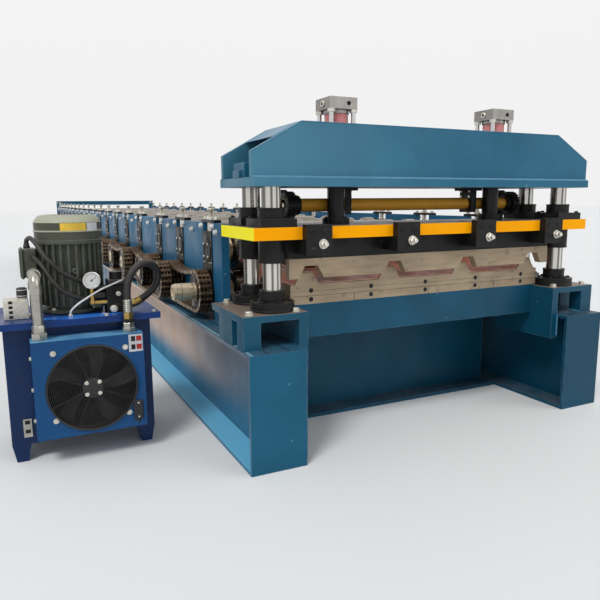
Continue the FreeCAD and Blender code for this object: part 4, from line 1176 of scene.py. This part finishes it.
def motor_details():
    """The pump motor's fan cover, foot ring and fasteners, its terminal box and two bare plates."""
    low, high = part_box("motor_fan_cover")
    middle = middle_of("motor_fan_cover")
    middle.z = 0
    rim = (high.x - low.x) / 2
    wall = rim - 0.003
    cover = Form("motor_cover", "frame", "grey_green_paint", "green", "green_lit", "hole")
    height = high.z - low.z
    bands = ([(0, 0), (rim - 0.004, 0), (rim - 0.0005, 0.002), (rim - 0.0005, 0.012), (wall, 0.014),
              (wall, 0.042)],
             [(wall, 0.042), (rim, 0.0435), (rim, 0.0465), (wall, 0.048)],
             [(wall, 0.048), (wall, height - 0.026)],
             [(wall, height - 0.026), (rim - 0.006, height - 0.018), (rim - 0.018, height - 0.004),
              (rim - 0.026, height - 0.001), (rim - 0.04, height), (0, height)])
    # Bands 1 and 3, the ridge ring and the top, take the paler copy: a painted highlight.
    for index, band in enumerate(bands):
        cover.lathe(band, middle + Z * low.z, Z, 72, index % 2)
    for ring in range(1, 6):
        for angle in turns(6 * ring):
            cover.lathe([(0.0042, 0.0003), (0.0036, 0.0006), (0, 0.0006)],
                        middle + polar(angle, 0.014 * ring, high.z - 0.0004), Z, 8, 2)
    for angle in turns(4, 45):
        cover.hex_bolt(middle + polar(angle, rim - 0.0035, low.z + 0.028), polar(angle, 1), 0.009, 0.003)
    cover.build("motor_fan_cover")

    form = Form("motor_fittings", "frame", "grey_green_paint", "green", "zinc")
    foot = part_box("motor_body")[0].z
    for angle in turns(8, 22.5):
        form.hex_bolt(middle + polar(angle, 0.075, foot + 0.03), Z, 0.012, 0.0005, 1)
    form.lathe(collar(0.0851, 0.106, foot + 0.002, foot + 0.015, 0.002), middle, Z, 64)
    for angle in turns(4, 45):
        form.hex_bolt(middle + polar(angle, 0.096, foot + 0.015), Z, 0.013, 0.007, 1, 0.009)
    lifting_eye = middle + Vector((0.006, -0.1005, 0.64))
    form.lathe([(0, -0.006), (0.011, -0.006), (0.011, 0.009), (0.0085, 0.011), (0.005, 0.011), (0.005, 0.005),
                (0, 0.005)], lifting_eye, -Y, 18)
    form.build()

    case = Form("terminal_case", "frame", "grey_green_paint", "green", "zinc")
    box_low, box_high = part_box("terminal_box")
    split, inset = box_low.x + 0.016, Vector((0, 0.003, 0.003))
    case.slab(Vector((split, *box_low.yz)) + inset, box_high - inset, 0.004)
    case.slab(box_low, (split, *box_high.yz), 0.007)
    for y in (box_low.y + 0.012, box_high.y - 0.012):
        for z in (box_low.z + 0.012, box_high.z - 0.012):
            case.hex_bolt((box_low.x + 0.0008, y, z), -X, 0.007, 0.0008, 1)
    case.build("terminal_box")

    plates = Form("motor_plates", "frame", "grey_green_paint", "plate_yellow", "plate_white")
    top, steps = 0.073, 8
    for start, end, look, base in ((253, 296, 0, 0.047), (298, 322, 1, 0.045)):
        angles = [radians(start + (end - start) * step / steps) for step in range(steps + 1)]
        outline = [middle + polar(angle, rim + 0.0002, low.z + base) for angle in angles]
        outline += [middle + polar(angle, rim - 0.0015, low.z + base) for angle in reversed(angles)]
        plates.sheet(outline, Z * (top - base), look)
    plates.build()


def gauge_details():
    """A liquid-filled gauge with a stepped rim, a scale and a pointer."""
    low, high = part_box("pressure_gauge")
    middle = middle_of("pressure_gauge")
    middle.y = 0
    rim = (high.x - low.x) / 2
    form = Form("gauge_body", "frame", "chrome_steel", "chrome", "dial", "hole")
    back, front = -high.y, -low.y
    form.lathe([(0, back), (rim - 0.004, back), (rim - 0.002, back + 0.002), (rim - 0.002, front - 0.007),
                (rim, front - 0.006), (rim, front - 0.001), (rim - 0.002, front), (rim - 0.0045, front),
                (rim - 0.0055, front - 0.002)], middle, -Y, 48)
    form.lathe([(rim - 0.0055, front - 0.002), (0, front - 0.002)], middle, -Y, 48, 1)
    face, scale = low.y + 0.002, rim - 0.0075
    for mark in range(31):
        angle = radians(225 - 270 * mark / 30)
        length = 0.0045 if mark % 5 == 0 else 0.0022
        form.tube([middle + upright(angle, reach, face - 0.0001) for reach in (scale, scale - length)],
                  0.00035, 4, 2)
    form.tube([middle + upright(radians(38), reach, face - 0.0006) for reach in (-0.006, rim - 0.011)],
              [0.0009, 0.0004], 5, 2)
    form.lathe([(0, 0), (0.0028, 0), (0.0028, 0.0012), (0, 0.0014)], middle + Y * face, -Y, 16, 2)
    form.build("pressure_gauge")


def valve_details():
    """Screws, a knob, a cover and a solenoid on the valve block."""
    form = Form("valve_fittings", "frame", "black_oxide", "black", "zinc", "plastic", "hole")
    left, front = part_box("valve_block")[0].xy
    for x in (left + 0.014, left + 0.064):
        for z in (0.5, 0.568):
            form.cap_bolt((x, front, z), -Y, 0.006, 0.004, 0, 3)
    form.lathe([(0, 0), (0.013, 0), (0.0135, 0.001), (0.0135, 0.009), (0.011, 0.012), (0, 0.013)],
               (left + 0.021, front, 0.503), -Y, 24, 1)
    form.hex_bolt((left + 0.04, front, 0.555), -Y, 0.013, 0.006, 1, 0.009)
    form.slab((left + 0.006, front + 0.008, 0.5831), (left + 0.072, front + 0.07, 0.605), 0.003, 2)
    solenoid = (left, front + 0.036, 0.545)
    form.lathe([(0, 0), (0.013, 0), (0.0145, 0.0015), (0.0145, 0.04), (0.013, 0.0415), (0, 0.042)],
               solenoid, -X, 28, 2)
    form.lathe([(0, 0.042), (0.006, 0.042), (0.006, 0.048), (0, 0.049)], solenoid, -X, 6, 1)
    form.build()


def return_pipe():
    """A galvanised pipe over the lid with threaded elbows and a union."""
    low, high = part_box("return_pipe")
    x, y, back, top = (low.x + high.x) / 2, low.y + 0.0266, high.y - 0.02, high.z - 0.02
    bend, sleeve, lid = 0.032, 0.026, 0.4871
    form = Form("galvanised_pipe", "frame", "galvanised", "galvanised")
    path = [(x, y, 0.468), (x, y, top - bend)]
    path += arc((x, y + bend, top - bend), bend, 180, 90, 8, Y, Z)[1:]
    path += [(x, back - bend, top)]
    path += arc((x, back - bend, top - bend), bend, 90, 0, 8, Y, Z)[1:]
    form.tube(path + [(x, back, lid)], 0.017, 24)
    for spot, axis in (((x, y, top - bend - sleeve), Z), ((x, y + bend, top), Y),
                       ((x, back - bend - sleeve, top), Y), ((x, back, top - bend - sleeve), Z)):
        form.lathe([(PIPE_RADIUS, 0), (0.0198, 0.001), (0.0199, 0.024), (PIPE_RADIUS, sleeve)],
                   spot, axis, 28)
    form.lathe(collar(0, 0.0266, 0.43, 0.455, 0.0008, 0.003), (x, y, 0), Z, 6)
    form.lathe([(PIPE_RADIUS, 0.455), (0.0215, 0.456), (0.0215, 0.476), (0.0195, 0.48), (PIPE_RADIUS, 0.48)],
               (x, y, 0), Z, 8)
    form.lathe([(0.017, lid), (0.027, lid), (0.027, 0.4955), (0.025, 0.4975), (0.017, 0.4975)],
               (x, back, 0), Z, 6)
    form.build("return_pipe")


def rounded(corners, share=0.45, steps=7):
    """Straight runs with each corner drawn out into a smooth bend."""
    path = [corners[0]]
    for before, corner, after in zip(corners, corners[1:], corners[2:]):
        reach = share * min((corner - before).length, (after - corner).length)
        enter = corner + (before - corner).normalized() * reach
        leave = corner + (after - corner).normalized() * reach
        for step in range(steps + 1):
            t = step / steps
            path.append(enter * (1 - t) ** 2 + corner * 2 * t * (1 - t) + leave * t ** 2)
    return path + [corners[-1]]


# Corners of the hose and lines, each from the port or edge that it is named after
HOSE_FROM_COOLER = ((0, 0, 0.034), (0, 0, 0.156), (0.016, 0.003, 0.206), (0.056, 0.014, 0.236),
                    (0.102, 0.032, 0.23))
HOSE_TO_BLOCK = ((0.103, -0.058, 0.137), (0.097, -0.042, 0.091), (0.065, -0.02, 0.053),
                 (0.025, -0.004, 0.025), (0, -0.004, 0.025))
UPPER_CONDUIT_FROM_BOX = ((0.026, 0.025, 0.106), (0.026, 0.025, 0.134), (0.038, -0.005, 0.146),
                          (0.054, -0.039, 0.124), (0.072, -0.067, 0.09), (0.098, -0.083, 0.056))
UPPER_CONDUIT_TO_BLOCK = ((-0.145, -0.032, 0.155), (-0.111, -0.026, 0.133), (-0.077, -0.01, 0.115),
                          (-0.041, 0.004, 0.097), (-0.017, 0.008, 0.083), (0, 0.008, 0.083))
LOWER_CONDUIT_FROM_BOX = ((0.044, 0, 0.076), (0.044, -0.019, 0.076), (0.066, -0.047, 0.054),
                          (0.082, -0.075, 0.022), (0.1, -0.089, -0.01))
LOWER_CONDUIT_TO_BLOCK = ((-0.145, -0.038, 0.089), (-0.109, -0.034, 0.067), (-0.072, -0.022, 0.053),
                          (-0.039, -0.008, 0.041), (-0.019, -0.002, 0.033), (0, -0.002, 0.033))
PILOT_FROM_LID = ((-0.125, -0.052, 0), (-0.125, -0.052, 0.021), (-0.101, -0.053, 0.043),
                  (-0.062, -0.054, 0.067), (-0.022, -0.052, 0.089))
PILOT_TO_BLOCK = ((-0.06, -0.046, 0.103), (-0.029, -0.036, 0.113), (-0.013, -0.02, 0.115),
                  (-0.013, -0.02, 0.096))


def route(start, first_corners, end, last_corners):
    """A smooth path whose corners are given from its start and then from its end."""
    return rounded([start + Vector(corner) for corner in first_corners]
                   + [end + Vector(corner) for corner in last_corners])


def unit_lines():
    """The cooler's hose with its fittings, the motor's conduits and the thin white line."""
    cooler_low, cooler_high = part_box("cooler_housing")
    block_low, block_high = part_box("valve_block")
    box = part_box("terminal_box")[0]
    block_y = (block_low.y + block_high.y) / 2
    block_left, block_right = [Vector((x, block_y, block_low.z)) for x in (block_low.x, block_high.x)]
    outlet = Vector((cooler_high.x - 0.04, cooler_low.y + 0.04, cooler_high.z))

    hose = Form("oil_hose", "frame", "black_plastic", "rubber", "galvanised", "brass", "hole")
    hose.lathe([(0, 0), (0.0225, 0), (0.0231, 0.002), (0.0231, 0.015), (0.0205, 0.017), (0.0205, 0.032),
                (0.019, 0.034), (0, 0.034)], outlet, Z, 6, 1)
    hose.lathe(collar(0, 0.019, 0.034, 0.045, 0.0005, 0.002), outlet, Z, 32, 3)
    hose.lathe(collar(0, 0.0172, 0.045, 0.068, 0.0007, 0.002), outlet, Z, 6, 2)
    sleeve = [(0, 0.068), (0.0145, 0.068)]
    for ring in range(6):
        low = 0.07 + ring * 0.007
        sleeve += [(0.0155, low), (0.0155, low + 0.004), (0.0148, low + 0.005), (0.0148, low + 0.0065)]
    hose.lathe(sleeve + [(0.0135, 0.114), (0, 0.114)], outlet, Z, 28, 1)
    path = route(outlet, HOSE_FROM_COOLER, block_right, HOSE_TO_BLOCK)
    hose.tube(path, HOSE_RADIUS, 20)
    hose.tube(path[-10:], HOSE_RADIUS + 0.0022, 20, 2)
    hose.lathe(collar(0, 0.0175, 0, 0.01, 0.0005, 0.001), path[-1], X, 6, 1)
    hose.build()

    lines = Form("conduits_and_pilot_line", "frame", "black_plastic", "rubber", "white", "zinc", "plastic")
    for path in (route(box, UPPER_CONDUIT_FROM_BOX, block_left, UPPER_CONDUIT_TO_BLOCK),
                 route(box, LOWER_CONDUIT_FROM_BOX, block_left, LOWER_CONDUIT_TO_BLOCK)):
        lines.tube(path, CONDUIT_RADIUS, 14)
        for spot, ahead in ((path[0], path[1] - path[0]), (path[-1], path[-2] - path[-1])):
            lines.lathe([(0, 0), (0.0105, 0), (0.011, 0.001), (0.011, 0.009), (0.0095, 0.011),
                         (0.0085, 0.018), (0, 0.018)], spot, ahead, 12, 3)
    path = route(block_left, PILOT_FROM_LID, block_right, PILOT_TO_BLOCK)
    lines.tube(path, PILOT_RADIUS, 12, 1)
    for spot in (path[0], path[-1]):
        lines.lathe([(0, 0), (0.0075, 0), (0.0078, 0.001), (0.0078, 0.008), (0.006, 0.01), (0, 0.01)],
                    spot, Z, 6, 2)
    lines.build()


def junction_details():
    """The silver block with its square ports, and the capped breather on it."""
    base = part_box("tank_lid")[1].z
    low, high = Vector((-1.478, 0.01, base)), Vector((-1.4, 0.07, base + 0.105))
    top = high.z - 0.037
    form = Form("junction_block", "frame", "zinc", "zinc", "hole", "plastic", "plate_white")
    form.slab(low, (high.x, high.y, top))
    for row in range(4):
        x, z = low.x + 0.022, low.z + 0.01 + row * 0.0165
        form.slab((x - 0.006, low.y - 0.0002, z - 0.005), (x + 0.006, low.y + 0.001, z + 0.005), 0.0002, 1)
    spot = Vector((high.x - 0.018, (low.y + high.y) / 2, top))
    form.lathe(disc(0.0145, 0.004), spot, Z, 28)
    form.lathe([(0, 0.004), (0.0168, 0.004), (0.0172, 0.006), (0.0172, 0.031), (0.0155, 0.0355),
                (0.012, 0.037), (0, 0.037)], spot, Z, 32, 2)
    for ring in (0.008, 0.028):
        form.lathe([(0.0172, ring), (0.0179, ring + 0.001), (0.0179, ring + 0.002), (0.0172, ring + 0.003)],
                   spot, Z, 32, 3)
    form.build()


def tank_details():
    """The lid's bolts, a torn film left on it and the weld under it."""
    low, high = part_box("tank_lid")
    form = Form("lid_bolts", "frame", "blue_paint", "tank", "zinc", "film")
    for x in (low.x + 0.018, (low.x + high.x) / 2 + 0.09, high.x - 0.018):
        for y in (low.y + 0.016, high.y - 0.016):
            form.hex_bolt((x, y, high.z), Z, 0.013, 0.006, 1, 0.009)
    chance = random.Random(5)
    film_x, film_back = -1.235, 0.018
    half_depth = (film_back - low.y) / 2
    film = []
    for turn in turns(26):
        across = cos(turn) * (0.12 + 0.02 * chance.random())
        along = sin(turn) * half_depth * (0.78 + 0.18 * chance.random())
        film.append((film_x + across, film_back - half_depth + along, high.z + 0.0001))
    form.sheet(film, Z * 0.0006, 2)
    low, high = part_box("oil_tank")
    for x in (low.x, high.x):
        form.weld((x, low.y, TANK_SEAM), (x, high.y, TANK_SEAM), 0.003, 0, 21)
    for y, seed in ((low.y, 22), (high.y, 23)):
        form.weld((low.x, y, TANK_SEAM), (high.x, y, TANK_SEAM), 0.003, 0, seed)
    form.build()


def entry_details():
    """Bolts of the entry frame and the flanges of its roller."""
    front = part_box("entry_frame")[0].y
    roller_end, roller_z = 0.6697, 0.5483
    form = Form("entry_fittings", "frame", "teal_paint", "zinc", "black")
    for side in SIDES:
        for a in SIDES:
            form.hex_bolt((side * BEAM_X + a * 0.018, front, 0.86), -Y, 0.016, 0.007, 0, 0.011)
        form.lathe([(0, 0), (0.03, 0), (0.032, 0.001), (0.032, 0.004), (0, 0.004)],
                   (side * roller_end, middle_of("entry_frame").y, roller_z), -X * side, 28, 1)
    form.build()


for make in (forming_rolls, adjusting_screws, stand_bolts, sprocket_wheels, drive_chains, crown_details,
             cylinder_details, guide_details, blade_details, shaft_details, stool_welds, cooler_guard,
             fan_wheel, cooler_details, motor_details, gauge_details, valve_details, return_pipe, unit_lines,
             junction_details, tank_details, entry_details):
    make()


# Floor, lights and camera

def floor():
    look = Look("floor", srgb(236, 236, 234), 0.7).vary(0.6, 0.25, srgb(228, 228, 226))
    mesh = bpy.data.meshes.new("floor")
    reach, height = 60.0, -0.0005
    mesh.from_pydata([(-reach, -reach, height), (reach, -reach, height), (reach, reach, height),
                      (-reach, reach, height)], [], [(0, 1, 2, 3)])
    mesh.materials.append(look.done())
    piece = add_object("floor", mesh)


def world():
    """Even light, with a pale studio for the camera and for what metal reflects."""
    scene = bpy.context.scene
    scene.world = bpy.data.worlds.new("studio")
    scene.world.use_nodes = True
    tree = scene.world.node_tree
    tree.nodes.clear()
    add, join = tree.nodes.new, tree.links.new
    seen, lit = add("ShaderNodeBackground"), add("ShaderNodeBackground")
    lit.inputs["Color"].default_value = srgb(236, 240, 246)
    lit.inputs["Strength"].default_value = 0.62
    split = add("ShaderNodeSeparateXYZ")
    join(add("ShaderNodeTexCoord").outputs["Generated"], split.inputs[0])
    ramp = add("ShaderNodeMapRange")
    for key, value in (("From Min", -0.1), ("From Max", 0.9), ("To Min", 0.93), ("To Max", 1.0)):
        ramp.inputs[key].default_value = value
    join(split.outputs["Z"], ramp.inputs["Value"])
    join(ramp.outputs["Result"], seen.inputs["Strength"])
    seen.inputs["Color"].default_value = srgb(248, 248, 248)
    path = add("ShaderNodeLightPath")
    total = path.outputs["Is Camera Ray"]
    for key in ("Is Glossy Ray", "Is Transmission Ray"):
        most = add("ShaderNodeMath")
        most.operation = "MAXIMUM"
        join(total, most.inputs[0])
        join(path.outputs[key], most.inputs[1])
        total = most.outputs[0]
    mix, out = add("ShaderNodeMixShader"), add("ShaderNodeOutputWorld")
    for source, socket in zip((total, lit.outputs[0], seen.outputs[0]), mix.inputs):
        join(source, socket)
    join(mix.outputs[0], out.inputs["Surface"])


def sun(name, direction, strength, angle):
    lamp = bpy.data.lights.new(name, "SUN")
    lamp.energy = strength
    lamp.angle = radians(angle)
    add_object(name, lamp).rotation_euler = Vector(direction).to_track_quat("-Z", "Y").to_euler()


def camera():
    """The photograph's own viewpoint."""
    eye = (-1.44695, -2.18915, 0.87924)
    yaw, pitch, roll = -0.451764, 0.165139, -0.0063347
    ahead = Vector((-sin(yaw) * cos(pitch), cos(yaw) * cos(pitch), -sin(pitch)))
    right = Vector((cos(yaw), sin(yaw), 0))
    up = right.cross(ahead)
    level = right * cos(roll) + up * sin(roll)
    upward = up * cos(roll) - right * sin(roll)
    lens = bpy.data.cameras.new("camera")
    lens.sensor_width = 36
    lens.lens = 35.98
    lens.clip_end = 200
    piece = add_object("camera", lens)
    piece.matrix_world = Matrix.Translation(eye) @ Matrix((level, upward, -ahead)).transposed().to_4x4()
    bpy.context.scene.camera = piece


floor()
world()
sun("key", (0.55, 0.45, -0.85), 1.5, 18)
sun("fill", (-0.6, 0.6, -0.45), 0.55, 40)
camera()
bpy.context.scene.view_settings.view_transform = "Standard"
